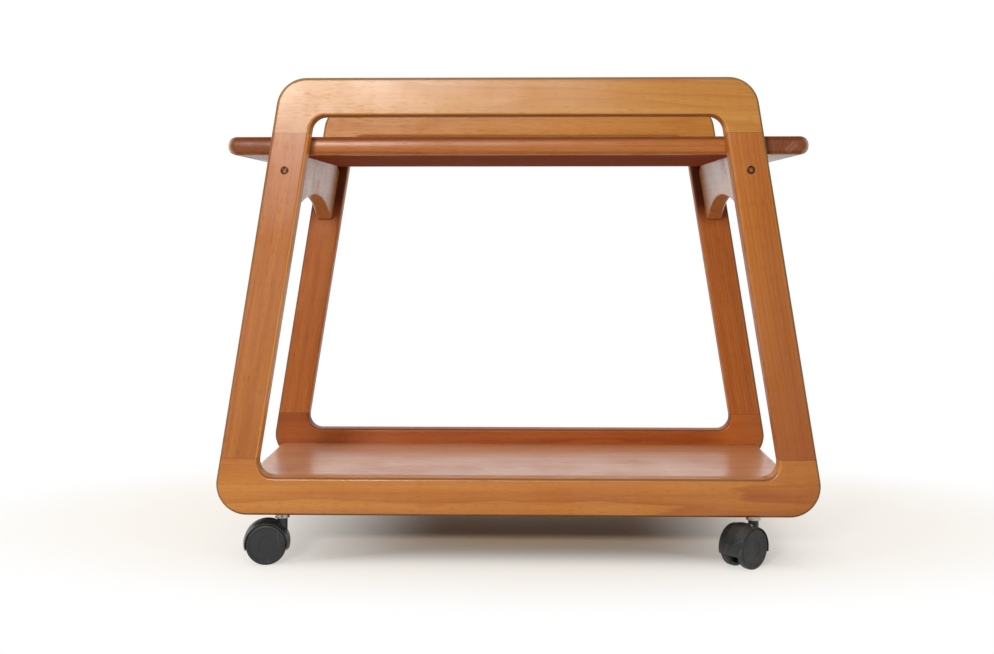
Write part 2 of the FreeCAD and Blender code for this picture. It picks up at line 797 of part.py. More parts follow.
for side_name, side in SIDES.items():
    top_points = mirrored([
        (inner_edge(top_rail_foot), top_rail_foot), (inner_edge(upper_joint), upper_joint),
        (outer_edge(upper_joint), upper_joint), (outer_edge(frame_top), frame_top),
    ])
    top_corners = [(frame_top, given.outer_corner_radius), (top_rail_foot, given.inner_corner_radius)]
    wooden(f"{side_name}_top_rail", frame_board("top_rail", side, top_points, top_corners, [upper_joint]))
    foot_points = mirrored([
        (outer_edge(frame_foot), frame_foot), (outer_edge(lower_joint), lower_joint),
        (inner_edge(lower_joint), lower_joint), (inner_edge(bottom_rail_top), bottom_rail_top),
    ])
    foot_corners = [(frame_foot, given.outer_corner_radius), (bottom_rail_top, given.inner_corner_radius)]
    foot_board = frame_board("bottom_rail", side, foot_points, foot_corners, [lower_joint])
    wooden(f"{side_name}_bottom_rail", foot_board)
    for hand_name, hand in HANDS.items():
        leg_points = [
            (outer_edge(lower_joint) * hand, lower_joint), (outer_edge(upper_joint) * hand, upper_joint),
            (inner_edge(upper_joint) * hand, upper_joint), (inner_edge(lower_joint) * hand, lower_joint),
        ]
        leg = frame_board("leg", side, leg_points, [], [upper_joint, lower_joint])
        wooden(f"{side_name}_{hand_name}_leg", leg)


# Cross rails
def cross_rail(hand):
    """Board that leans with the legs, arched below and eased at the ends of its top edge."""
    body = new_body("cross_rail")
    foot = tray_underside - given.cross_rail_depth
    near, far = -cross_rail_half * hand, cross_rail_half * hand
    section = outline(body, "XZ_Plane", [
        (leg_middle(foot) * hand + near, foot), (leg_middle(foot) * hand + far, foot),
        (leg_middle(tray_underside) * hand + far, tray_underside),
        (leg_middle(tray_underside) * hand + near, tray_underside),
    ])
    pad(body, section, frame_inside * 2)
    reach = given.foot_width + given.overrun
    half = frame_inside - given.arch_land
    arch_radius = (half * half + given.arch_rise * given.arch_rise) / 2 / given.arch_rise
    below = foot - given.overrun
    arch = outline(body, "YZ_Plane", [(half, foot), (-half, foot), (-half, below), (half, below)],
                   {0: Arc(arch_radius, 1, False)})
    pocket(body, arch, reach)
    ease = given.relief_length
    drop = given.relief_drop
    relief_radius = (ease * ease + drop * drop) / 2 / drop
    above = tray_underside + given.overrun
    past = frame_inside + given.overrun
    for end in (-1, 1):
        relief = outline(body, "YZ_Plane", [
            ((frame_inside - ease) * end, tray_underside), (frame_inside * end, tray_underside - drop),
            (past * end, tray_underside - drop), (past * end, above), ((frame_inside - ease) * end, above),
        ], {0: Arc(relief_radius, -end, False)})
        pocket(body, relief, reach)
    waist = tray_underside - given.cross_rail_depth / 2
    round_edges(body, given.cross_rail_round, lambda box: box.YLength > given.near.value
                and box.ZMax < waist.value)
    return body


for hand_name, hand in HANDS.items():
    wooden(f"{hand_name}_cross_rail", cross_rail(hand))


# Tray and leaves
def slab(name, low, high):
    """Plain board between two corners."""
    board = doc.addObject("Part::Box", name)
    for prop, first, last in zip(("Length", "Width", "Height"), low, high):
        bind(board, prop, sized(last) - first)
    return place(board, *low)


def nosed(name, low, high, radius, wanted):
    """Board between two corners with the edges that a test picks rounded."""
    body = new_body(name)
    corners = [(low[0], low[1]), (high[0], low[1]), (high[0], high[1]), (low[0], high[1])]
    face = outline(body, "XY_Plane", corners, shift=low[2])
    pad(body, face, high[2] - low[2], "One side")
    round_edges(body, radius, wanted)
    return body


panel_side = tray_side - given.lipping_width
top_low = (-panel_end, -panel_side, tray_underside)
wooden("top_panel", slab("top_board", top_low, (panel_end, panel_side, tray_top)))
for side_name, side in SIDES.items():
    first, last = sorted((panel_side * side, tray_side * side), key=lambda amount: amount.value)
    lipping = nosed("top_lipping", (-panel_end, first, tray_underside), (panel_end, last, tray_top),
                    given.lipping_round, lambda box: close(box.YMin, tray_side * side)
                    and close(box.YMax, tray_side * side) and box.XLength > given.lipping_width.value)
    keep(f"{side_name}_top_lipping", lipping)

leaf_end = given.tray_length / 2
round_limit = (leaf_end - leaf_start) * given.leaf_round_share
nose_round = smaller(given.leaf_nose_round, round_limit)
leaf_round = smaller(given.leaf_edge_round, round_limit)
for hand_name, hand in HANDS.items():
    first, last = sorted((leaf_start * hand, leaf_end * hand), key=lambda amount: amount.value)
    leaf = nosed("leaf", (first, -tray_side, tray_underside), (last, tray_side, tray_top), nose_round,
                 lambda box: close(box.XMin, leaf_end * hand) and close(box.XMax, leaf_end * hand)
                 and box.YLength > given.tray_thickness.value)
    round_edges(leaf, leaf_round, lambda box: box.YLength < given.near.value
                and not close(box.XMin + box.XMax, leaf_start * hand * 2))
    wooden(f"{hand_name}_leaf", leaf)

# Lower shelf
shelf_end = given.shelf_length / 2 - given.shelf_lipping_width
shelf_foot = shelf_top - given.shelf_thickness
shelf_low = (-shelf_end, -frame_inside, shelf_foot)
wooden("lower_shelf", slab("shelf_board", shelf_low, (shelf_end, frame_inside, shelf_top)))
for hand_name, hand in HANDS.items():
    first, last = sorted((shelf_end * hand, given.shelf_length / 2 * hand), key=lambda amount: amount.value)
    lipping = nosed("shelf_lipping", (first, -frame_inside, shelf_foot), (last, frame_inside, shelf_top),
                    given.shelf_nose_round, lambda box: close(box.XMin, given.shelf_length / 2 * hand)
                    and close(box.XMax, given.shelf_length / 2 * hand)
                    and box.YLength > given.shelf_thickness.value)
    keep(f"{hand_name}_shelf_lipping", lipping)

# Check and write the pieces
doc.recompute()
for item in doc.Objects:
    if "Invalid" in item.State or "Error" in item.State:
        raise RuntimeError(f"{item.Name} failed: {item.State}")
for label, item in pieces.items():
    if item.Label != label:
        raise RuntimeError(f"{label} has the label {item.Label}")
    if item.Shape.isNull() or not item.Shape.isValid() or not item.Shape.Solids:
        raise RuntimeError(f"{label} has no valid solid")
os.makedirs("parts", exist_ok=True)
for label, item in pieces.items():
    item.Shape.exportStep(os.path.join("parts", f"{label}.step"))
print(f"{len(pieces)} pieces written")
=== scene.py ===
"""Looks of a drop leaf tea trolley: lacquered teak, moulded castors and small fittings in soft light.

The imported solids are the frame. This file gives each of them its finish, adds the fine pieces that show
close up, and sets the floor, the lamps and the camera. Lengths are in metres.
"""

from __future__ import annotations

import functools
import json
import logging
import math
from dataclasses import dataclass, field
from enum import Enum
from typing import Union

import bmesh
import bpy
import numpy as np
from mathutils import Euler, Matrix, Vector

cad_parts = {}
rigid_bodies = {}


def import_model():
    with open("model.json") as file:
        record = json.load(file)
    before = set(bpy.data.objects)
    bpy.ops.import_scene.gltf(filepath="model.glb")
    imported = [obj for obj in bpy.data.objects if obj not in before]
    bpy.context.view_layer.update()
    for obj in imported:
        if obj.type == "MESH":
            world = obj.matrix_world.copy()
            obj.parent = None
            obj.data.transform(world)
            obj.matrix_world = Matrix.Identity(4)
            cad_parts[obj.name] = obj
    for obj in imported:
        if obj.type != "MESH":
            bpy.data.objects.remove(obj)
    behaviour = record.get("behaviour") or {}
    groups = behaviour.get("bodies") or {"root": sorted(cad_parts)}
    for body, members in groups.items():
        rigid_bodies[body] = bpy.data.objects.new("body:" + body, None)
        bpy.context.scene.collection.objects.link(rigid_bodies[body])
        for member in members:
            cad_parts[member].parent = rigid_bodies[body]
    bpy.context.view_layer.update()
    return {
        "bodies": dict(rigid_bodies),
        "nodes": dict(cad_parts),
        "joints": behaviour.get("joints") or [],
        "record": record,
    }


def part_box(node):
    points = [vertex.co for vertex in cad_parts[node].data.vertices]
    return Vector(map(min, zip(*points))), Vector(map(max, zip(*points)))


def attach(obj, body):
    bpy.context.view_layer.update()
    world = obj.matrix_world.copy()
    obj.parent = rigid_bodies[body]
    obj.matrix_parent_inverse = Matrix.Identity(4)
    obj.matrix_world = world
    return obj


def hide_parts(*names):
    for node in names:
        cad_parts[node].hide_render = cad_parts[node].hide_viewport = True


log = logging.getLogger("tea_trolley")

Colour = tuple[float, float, float]
Triple = tuple[float, float, float]
Pair = tuple[float, float]
Socket = bpy.types.NodeSocket
Source = Union[Socket, float, tuple]

SPLAY = math.radians(9.16)
QUARTER = math.pi / 2
WELD = 1e-6
CRISP = math.radians(38)
ORIGIN: Triple = (0.0, 0.0, 0.0)
WHITE: Colour = (1.0, 1.0, 1.0)
SIDES = ("front", "rear")
HANDS = ("left", "right")
CORNERS = [f"{side}_{hand}" for side in SIDES for hand in HANDS]

# Numbers of a Mix node's sockets when it blends colours
MIX_SHARE, MIX_FIRST, MIX_SECOND, MIX_RESULT = 0, 6, 7, 2


def display(red: int, green: int, blue: int) -> Colour:
    """Scene colour of an 8-bit display colour, by the display's curve: a straight toe, then a power.

    Args:
        red: Red from 0 to 255.
        green: Green from 0 to 255.
        blue: Blue from 0 to 255.

    Returns:
        The three channels on a linear scale.
    """
    shares = np.array([red, green, blue]) / 255
    toe = shares / 12.92
    curve = ((shares + 0.055) / 1.055) ** 2.4
    return tuple(np.where(shares <= 0.04045, toe, curve).tolist())


@dataclass(frozen=True)
class Tint:
    """Another tone that comes in by a mask.

    Attributes:
        share: Share of it where the mask is full.
        tone: Its colour.
    """

    share: float
    tone: Colour


@dataclass(frozen=True)
class Noise:
    """Measures of a noise.

    Attributes:
        density: Features per metre along X, Y and Z.
        detail: Octaves of finer noise.
        rough: Strength of each finer octave.
    """

    density: Triple
    detail: float = 2.0
    rough: float = 0.5


class Graph:
    """A short way to add and join the nodes of one shader tree."""

    def __init__(self, tree: bpy.types.NodeTree) -> None:
        """Hold the tree that nodes go into."""
        self.tree = tree

    def add(self, kind: str, **settings: object) -> bpy.types.Node:
        """Add a node.

        Args:
            kind: Blender's name for the kind of node.
            settings: Properties to set on it.

        Returns:
            The new node.
        """
        node = self.tree.nodes.new(kind)
        for name, value in settings.items():
            setattr(node, name, value)
        return node

    def feed(self, socket: Socket, source: Source) -> None:
        """Give a socket a plain value, or a link from another socket.

        Args:
            socket: The socket.
            source: The value, of three numbers for a colour, or the other socket.
        """
        if isinstance(source, Socket):
            self.tree.links.new(source, socket)
        elif socket.type == "RGBA" and len(source) == 3:
            socket.default_value = (*source, 1.0)
        else:
            socket.default_value = source

    def fill(self, node: bpy.types.Node, inputs: dict[str, Source]) -> bpy.types.Node:
        """Feed several inputs of a node.

        Args:
            node: The node.
            inputs: What each input takes, by its name.

        Returns:
            The same node.
        """
        for name, source in inputs.items():
            self.feed(node.inputs[name], source)
        return node

    def use(self, tree: bpy.types.NodeTree, inputs: dict[str, Source]) -> bpy.types.NodeOutputs:
        """Place a node group, feed it and return its outputs."""
        return self.fill(self.add("ShaderNodeGroup", node_tree=tree), inputs).outputs

    def combine(self, kind: str, operation: str, *sources: Source) -> bpy.types.NodeOutputs:
        """Add a node that works on its first inputs.

        Args:
            kind: Blender's name for the kind of node.
            operation: Blender's name for what it does.
            sources: What its first inputs take, in order.

        Returns:
            The node's outputs.
        """
        node = self.add(kind, operation=operation)
        for socket, source in zip(node.inputs, sources):
            self.feed(socket, source)
        return node.outputs

    def math(self, operation: str, *numbers: Source) -> Socket:
        """Combine one or two numbers."""
        return self.combine("ShaderNodeMath", operation, *numbers)[0]

    def times(self, first: Source, second: Source) -> Socket:
        """Multiply two numbers."""
        return self.math("MULTIPLY", first, second)

    def centred(self, noise: Source) -> Socket:
        """Shift a noise about one half so that it lies about nought."""
        return self.math("SUBTRACT", noise, 0.5)

    def rest(self, share: Source) -> Socket:
        """What a share leaves of one."""
        return self.math("SUBTRACT", 1.0, share)

    def weighted(self, *parts: tuple[Source, Source]) -> Socket:
        """Add up parts, each times its weight, in the order given."""
        products = [self.times(part, weight) for part, weight in parts]
        return functools.reduce(functools.partial(self.math, "ADD"), products)

    def vector(self, operation: str, *vectors: Source) -> Socket:
        """Combine one or two vectors into another."""
        return self.combine("ShaderNodeVectorMath", operation, *vectors)["Vector"]

    def dot(self, first: Source, second: Source) -> Socket:
        """Dot product of two vectors."""
        return self.combine("ShaderNodeVectorMath", "DOT_PRODUCT", first, second)["Value"]

    def length(self, vector: Source) -> Socket:
        """Length of a vector."""
        return self.combine("ShaderNodeVectorMath", "LENGTH", vector)["Value"]

    def offset(self, place: Source, middle: Source, ways: Triple) -> Socket:
        """Way from a middle to a place, with a share of it along each axis."""
        return self.vector("MULTIPLY", self.vector("SUBTRACT", place, middle), ways)

    def split(self, vector: Source) -> bpy.types.NodeOutputs:
        """Take a vector apart into X, Y and Z."""
        return self.fill(self.add("ShaderNodeSeparateXYZ"), {"Vector": vector}).outputs

    def noise(self, vector: Source, noise: Noise) -> Socket:
        """Lay a noise over coordinates.

        Args:
            vector: Coordinates in metres.
            noise: Its measures.

        Returns:
            A value about one half.
        """
        packed = self.vector("MULTIPLY", vector, noise.density)
        inputs = {"Vector": packed, "Scale": 1.0, "Detail": noise.detail, "Roughness": noise.rough}
        return self.fill(self.add("ShaderNodeTexNoise"), inputs).outputs[0]

    def spread(self, value: Source, span: Pair, onto: Pair = (0.0, 1.0)) -> Socket:
        """Carry a value smoothly from one span onto another, and hold it beyond the ends.

        Args:
            value: The value.
            span: Ends of the span that it comes from, either way round.
            onto: What the ends become.

        Returns:
            The carried value.
        """
        node = self.add("ShaderNodeMapRange", interpolation_type="SMOOTHSTEP")
        ends = dict(zip(("From Min", "From Max", "To Min", "To Max"), (*span, *onto)))
        return self.fill(node, {"Value": value, **ends}).outputs[0]

    def mix(self, share: Source, first: Source, second: Source) -> Socket:
        """Blend two colours.

        Args:
            share: Share of the second.
            first: First colour.
            second: Second colour.

        Returns:
            The blend.
        """
        node = self.add("ShaderNodeMix", data_type="RGBA")
        for index, source in ((MIX_SHARE, share), (MIX_FIRST, first), (MIX_SECOND, second)):
            self.feed(node.inputs[index], source)
        return node.outputs[MIX_RESULT]

    def tinted(self, colour: Source, mask: Source, tint: Tint) -> Socket:
        """Bring another tone into a colour by a mask."""
        return self.mix(self.times(mask, tint.share), colour, tint.tone)

    def ramp(self, share: Source, *colours: Colour) -> Socket:
        """Run smoothly through evenly spaced colours.

        Args:
            share: Share of the way from the first to the last.
            colours: The colours.

        Returns:
            The colour at that share.
        """
        node = self.add("ShaderNodeValToRGB")
        band = node.color_ramp
        band.interpolation = "B_SPLINE"
        while len(band.elements) < len(colours):
            band.elements.new(0.5)
        for index, colour in enumerate(colours):
            band.elements[index].position = index / (len(colours) - 1)
            band.elements[index].color = (*colour, 1.0)
        self.feed(node.inputs[0], share)
        return node.outputs[0]

    def mapped(self, place: Socket, turn: Euler, shift: Triple = ORIGIN) -> Socket:
        """Turn and shift coordinates with a Mapping node."""
        node = self.add("ShaderNodeMapping")
        return self.fill(node, {"Vector": place, "Location": shift, "Rotation": turn}).outputs[0]

    def turned(self, normal: Socket, turn: Euler) -> Socket:
        """Turn a normal with a Mapping node."""
        node = self.add("ShaderNodeMapping", vector_type="VECTOR")
        return self.fill(node, {"Vector": normal, "Rotation": turn}).outputs[0]

    def bump(self, height: Source, strength: float, distance: float) -> Socket:
        """Normal of a fine relief, whose full height is a distance in metres."""
        node = self.add("ShaderNodeBump")
        return self.fill(node, {"Strength": strength, "Distance": distance, "Height": height}).outputs[0]


def new_group(name: str, inputs: dict[str, str], outputs: dict[str, str]) -> tuple[Graph, dict, dict]:
    """Start a shader node group.

    Args:
        name: Name of the group.
        inputs: Socket kinds by name.
        outputs: Socket kinds by name.

    Returns:
        The group's graph, its inputs as sources and its outputs as sockets to feed.
    """
    tree = bpy.data.node_groups.new(name, "ShaderNodeTree")
    for way, sockets in (("INPUT", inputs), ("OUTPUT", outputs)):
        for title, kind in sockets.items():
            tree.interface.new_socket(name=title, in_out=way, socket_type=f"NodeSocket{kind}")
    graph = Graph(tree)
    entry = graph.add("NodeGroupInput").outputs
    leave = graph.add("NodeGroupOutput").inputs
    return graph, {title: entry[title] for title in inputs}, {title: leave[title] for title in outputs}


# Noises along a board's grain, which runs along X, and the share of ripple in its bend
BEND = Noise((1.6, 11.0, 11.0))
RIPPLE = Noise((9.0, 90.0, 90.0))
FIBRE = Noise((16.0, 950.0, 950.0), 3.0, 0.6)
VESSEL = Noise((75.0, 2300.0, 2300.0), 1.0)
MOTTLE = Noise((2.2, 14.0, 14.0))
STREAK = Noise((1.3, 130.0, 130.0), 3.0, 0.55)
RIPPLE_SHARE = 0.12

# Ways across the grain, a growth ring's early wood, sharp end and deepening, and how pores crowd and peak
ACROSS_GRAIN: Triple = (0.0, 1.0, 1.0)
EARLY_WOOD: Pair = (0.0, 0.6)
RING_END: Pair = (0.86, 1.0)
LATE_POWER = 1.8
PORE_CROWD = 0.05
PORE_PEAK: Pair = (0.60, 0.70)


@functools.cache
def board_figure() -> bpy.types.NodeTree:
    """Figure of a sawn board whose grain runs along X.

    Growth rings are shells about a pith line beside the board: the distance from the pith, bent by slow
    noise along the grain, is cut into rings, and each ring darkens towards its late wood and ends sharply.
    Fibre is fine noise drawn out along the grain, pores are its short dark peaks, crowded in early wood,
    and the mottle is a broad drift of tone.

    Returns:
        The group, built once.
    """
    graph, given, made = new_group(
        "board_figure",
        {"Vector": "Vector", "Pith": "Vector", "Ring Spacing": "Float", "Wander": "Float"},
        {"Rings": "Float", "Fibre": "Float", "Pores": "Float", "Mottle": "Float", "Streak": "Float"},
    )
    place = given["Vector"]
    ripple = graph.times(graph.centred(graph.noise(place, RIPPLE)), RIPPLE_SHARE)
    bend = graph.math("ADD", graph.centred(graph.noise(place, BEND)), ripple)
    radius = graph.length(graph.offset(place, given["Pith"], ACROSS_GRAIN))
    radius = graph.math("ADD", radius, graph.times(bend, given["Wander"]))
    turn = graph.math("FRACT", graph.math("DIVIDE", radius, given["Ring Spacing"]))
    late = graph.math("POWER", turn, LATE_POWER)
    graph.feed(made["Rings"], graph.times(late, graph.spread(turn, RING_END, (1.0, 0.0))))
    crowd = graph.spread(turn, EARLY_WOOD, (PORE_CROWD, 0.0))
    peak = graph.math("ADD", graph.noise(place, VESSEL), crowd)
    graph.feed(made["Pores"], graph.spread(peak, PORE_PEAK))
    for title, noise in (("Fibre", FIBRE), ("Mottle", MOTTLE), ("Streak", STREAK)):
        graph.feed(made[title], graph.noise(place, noise))
    return graph.tree


# Largest part of the normal on a rounded edge, and the noise that breaks up its wear
ROUNDED: Pair = (0.99, 0.88)
WEAR = Noise((38.0, 38.0, 38.0), 4.0, 0.6)
WORN: Pair = (0.36, 0.66)


@functools.cache
def edge_rub() -> bpy.types.NodeTree:
    """Masks of rounded edges, whole and where hands have rubbed the finish.

    A flat face of a board points along one of the board's own axes and a rounded edge points between two
    of them, so the mask grows as the largest part of the normal falls, and noise breaks up the rubbed one.

    Returns:
        The group, built once.
    """
    graph, given, made = new_group(
        "edge_rub", {"Normal": "Vector", "Vector": "Vector"}, {"Edge": "Float", "Rub": "Float"}
    )
    sizes = [graph.math("ABSOLUTE", part) for part in graph.split(given["Normal"])]
    edge = graph.spread(functools.reduce(functools.partial(graph.math, "MAXIMUM"), sizes), ROUNDED)
    graph.feed(made["Edge"], edge)
    worn = graph.spread(graph.noise(given["Vector"], WEAR), WORN)
    graph.feed(made["Rub"], graph.times(edge, worn))
    return graph.tree


# Noises of handling, where each shows, and the way that scratches run
SMUDGE = Noise((13.0, 13.0, 13.0), 4.0, 0.62)
SMUDGED: Pair = (0.35, 0.7)
HAIR = Noise((22.0, 1900.0, 30.0), 0.0)
HAIR_TURN = Euler((0.4, 0.9, 0.6))
SCRATCHED: Pair = (0.735, 0.78)
FINE_GRAIN = Noise((2600.0, 2600.0, 2600.0), 2.0, 0.6)


@functools.cache
def handling() -> bpy.types.NodeTree:
    """Marks of use, a broad smudge and fine hair scratches, each as a mask, and an even fine grain.

    Returns:
        The group, built once.
    """
    graph, given, made = new_group(
        "handling", {"Vector": "Vector"}, {"Smudge": "Float", "Scratch": "Float", "Grain": "Float"}
    )
    place = given["Vector"]
    graph.feed(made["Smudge"], graph.spread(graph.noise(place, SMUDGE), SMUDGED))
    hair = graph.noise(graph.mapped(place, HAIR_TURN), HAIR)
    graph.feed(made["Scratch"], graph.spread(hair, SCRATCHED))
    graph.feed(made["Grain"], graph.noise(place, FINE_GRAIN))
    return graph.tree


# Half the width of the line at a butt joint
JOINT_HALF = 0.0007


@functools.cache
def butt_line() -> bpy.types.NodeTree:
    """Fine dark line where two boards meet at a level.

    Returns:
        The group, built once.
    """
    graph, given, made = new_group(
        "butt_line", {"Vector": "Vector", "Lower": "Float", "Upper": "Float"}, {"Line": "Float"}
    )
    height = graph.split(given["Vector"])["Z"]
    steps = [graph.math("SUBTRACT", height, given[name]) for name in ("Lower", "Upper")]
    gaps = [graph.math("ABSOLUTE", step) for step in steps]
    graph.feed(made["Line"], graph.spread(graph.math("MINIMUM", *gaps), (0.0, JOINT_HALF), (1.0, 0.0)))
    return graph.tree


# Shares of a nose's height where shade is painted, and part of the normal on faces that show it
NOSE_FACE: Pair = (0.3, 0.7)
CROWN_SHARES: Pair = (0.7, 0.88)
FOOT_SHARE = 0.12
FOOT_FADE_SHARES: Pair = (0.02, 0.1)
FOOT_DARK = 0.5


@functools.cache
def nose_shade() -> bpy.types.NodeTree:
    """Painted shade on the nose of a tray's edge between two levels.

    The share of the height runs from the lower to the upper level. Shade is painted along the upper edge
    and in a thin line near the foot, on faces that look to the front or the rear.

    Returns:
        The group, built once.
    """
    graph, given, made = new_group(
        "nose_shade", {"Vector": "Vector", "Normal": "Vector", "Lower": "Float", "Upper": "Float"},
        {"Dark": "Float"},
    )
    above = graph.math("SUBTRACT", graph.split(given["Vector"])["Z"], given["Lower"])
    share = graph.math("DIVIDE", above, graph.math("SUBTRACT", given["Upper"], given["Lower"]))
    facing = graph.spread(graph.math("ABSOLUTE", graph.split(given["Normal"])["Y"]), NOSE_FACE)
    crown = graph.spread(share, CROWN_SHARES)
    line = graph.math("ABSOLUTE", graph.math("SUBTRACT", share, FOOT_SHARE))
    foot = graph.spread(line, FOOT_FADE_SHARES, (FOOT_DARK, 0.0))
    graph.feed(made["Dark"], graph.times(facing, graph.math("MAXIMUM", crown, foot)))
    return graph.tree


# Part of the normal along Y on faces that look to the front, and the measures of a pair of scuffs
FRONT: Pair = (-0.3, -0.8)
SLANT = 0.707
SCUFF_APART = 0.0045
SCUFF_HALF = 0.0036
SCUFF_START: Pair = (0.0, 0.005)
SCUFF_END: Pair = (0.014, 0.022)


@functools.cache
def scuffs() -> bpy.types.NodeTree:
    """Two slanting scuffs that rise side by side from a point on a front face.

    The way along a scuff is x plus z from the point, and the way across it is x less z. A scuff shows
    where the way across is near nought, or near the second scuff's place, and fades to both sides.

    Returns:
        The group, built once.
    """
    graph, given, made = new_group(
        "scuffs", {"Vector": "Vector", "Normal": "Vector", "Start": "Vector"}, {"Mark": "Float"}
    )
    away = graph.vector("SUBTRACT", given["Vector"], given["Start"])
    along = graph.dot(away, (SLANT, 0.0, SLANT))
    across = graph.dot(away, (SLANT, 0.0, -SLANT))
    gaps = [graph.math("ABSOLUTE", gap) for gap in (across, graph.math("SUBTRACT", across, SCUFF_APART))]
    line = graph.spread(graph.math("MINIMUM", *gaps), (0.0, SCUFF_HALF), (1.0, 0.0))
    length = graph.times(graph.spread(along, SCUFF_START), graph.spread(along, SCUFF_END, (1.0, 0.0)))
    front = graph.spread(graph.split(given["Normal"])["Y"], FRONT)
    graph.feed(made["Mark"], graph.times(graph.times(line, length), front))
    return graph.tree


class Grain(Enum):
    """Way that a board's grain runs, as the turn that lays it along X."""

    LENGTHWISE = ORIGIN
    CROSSWISE = (0.0, 0.0, -QUARTER)
    LEFT_LEG = (0.0, QUARTER - SPLAY, 0.0)
    RIGHT_LEG = (0.0, QUARTER + SPLAY, 0.0)
    UPRIGHT = (0.0, QUARTER, 0.0)

    @property
    def turn(self) -> Euler:
        """Turn for a Mapping node."""
        return Euler(self.value)


@dataclass(frozen=True)
class WoodTone:
    """Colours of a board, from early wood to late wood."""

    light: Colour
    middle: Colour
    dark: Colour


AMBER = WoodTone(display(214, 154, 74), display(198, 130, 53), display(174, 104, 38))
TAWNY = WoodTone(display(214, 142, 63), display(198, 118, 44), display(165, 86, 29))
RUSSET = WoodTone(display(200, 125, 55), display(183, 105, 39), display(156, 81, 28))
HONEY = WoodTone(display(202, 126, 50), display(186, 106, 36), display(160, 82, 26))
DEEP = WoodTone(display(209, 126, 54), display(193, 107, 40), display(165, 82, 28))
# The rear bottom rail's tone is darker than the other teak, as painted shade.
SHADED_UMBER = WoodTone(display(197, 110, 45), display(179, 92, 33), display(151, 70, 23))
TRAY = WoodTone(display(202, 126, 60), display(184, 106, 46), display(154, 78, 32))
LEAF = WoodTone(display(200, 122, 70), display(176, 99, 54), display(140, 70, 36))
SHELF = WoodTone(display(216, 150, 96), display(201, 130, 80), display(176, 104, 62))
# The cross rails' tone is paler than the other teak: partly their own tone, partly painted sheen.
CANE_AND_SHEEN = WoodTone(display(238, 178, 112), display(226, 156, 90), display(200, 124, 62))
BEECH = WoodTone(display(226, 196, 154), display(210, 176, 132), display(190, 152, 108))

# Tones that marks bring into a board's own
END_GRAIN = Tint(0.62, display(96, 54, 34))
OPEN_PORES = Tint(0.32, display(84, 42, 20))
RUBBED_EDGE = Tint(0.22, display(222, 164, 104))
HAIR_SCRATCH = Tint(0.05, display(226, 178, 128))
# Painted shade on the upper edge and the foot of a nose.
NOSE_SHADE = Tint(0.7, display(102, 42, 12))
PALE_SCUFF = Tint(0.2, display(208, 160, 130))
JOINT_LINE = Tint(0.5, display(88, 46, 22))
BARE_WOOD = Tint(0.55, display(160, 70, 42))

# What the parts of a figure add to the depth of a board's tone, the depth that they start from, and relief
FIBRE_DEPTH, STREAK_DEPTH, START_DEPTH = 0.55, 0.9, 0.34
FIBRE_RELIEF = 0.5

# What marks add to a board's roughness, and how much of that the gloss already counts
SMUDGE_ROUGH, PORE_ROUGH, END_ROUGH, BARE_ROUGH, COUNTED_ROUGH = 0.08, 0.18, 0.1, 0.4, 0.04

# What marks take from a board's shine
SMUDGE_DULL, PORE_DULL, END_DULL, EDGE_DULL, NOSE_DULL = 0.4, 0.35, 0.55, 0.3, 0.85

# Part of the normal on end grain, on a frame's faces, on undersides and on edges that look up
END_FACE: Pair = (0.55, 0.95)
WIDE_FACE: Pair = (0.3, 0.8)
UNDERSIDE: Pair = (-0.6, -0.9)
UPPER_EDGE: Pair = (0.22, 0.6)

# The trolley's middle, and how far a face looks away from it, or back to it along X
MIDDLE: Triple = (0.0, 0.0, 0.33)
LOOKS_AWAY: Pair = (0.0, 0.06)
LOOKS_BACK: Pair = (-0.06, -0.2)

# Most of the painted light and shade that shows on edges and faces that look one way, and how much of it
# level flats and edges show
RIM_SHARE, INNER_SHARE, BAND_SHARE, LEVEL_SHARE = 0.8, 0.85, 0.7, 0.75
LEVEL_FLAT_SHARE, LEVEL_EDGE_SHARE = 0.4, 0.55


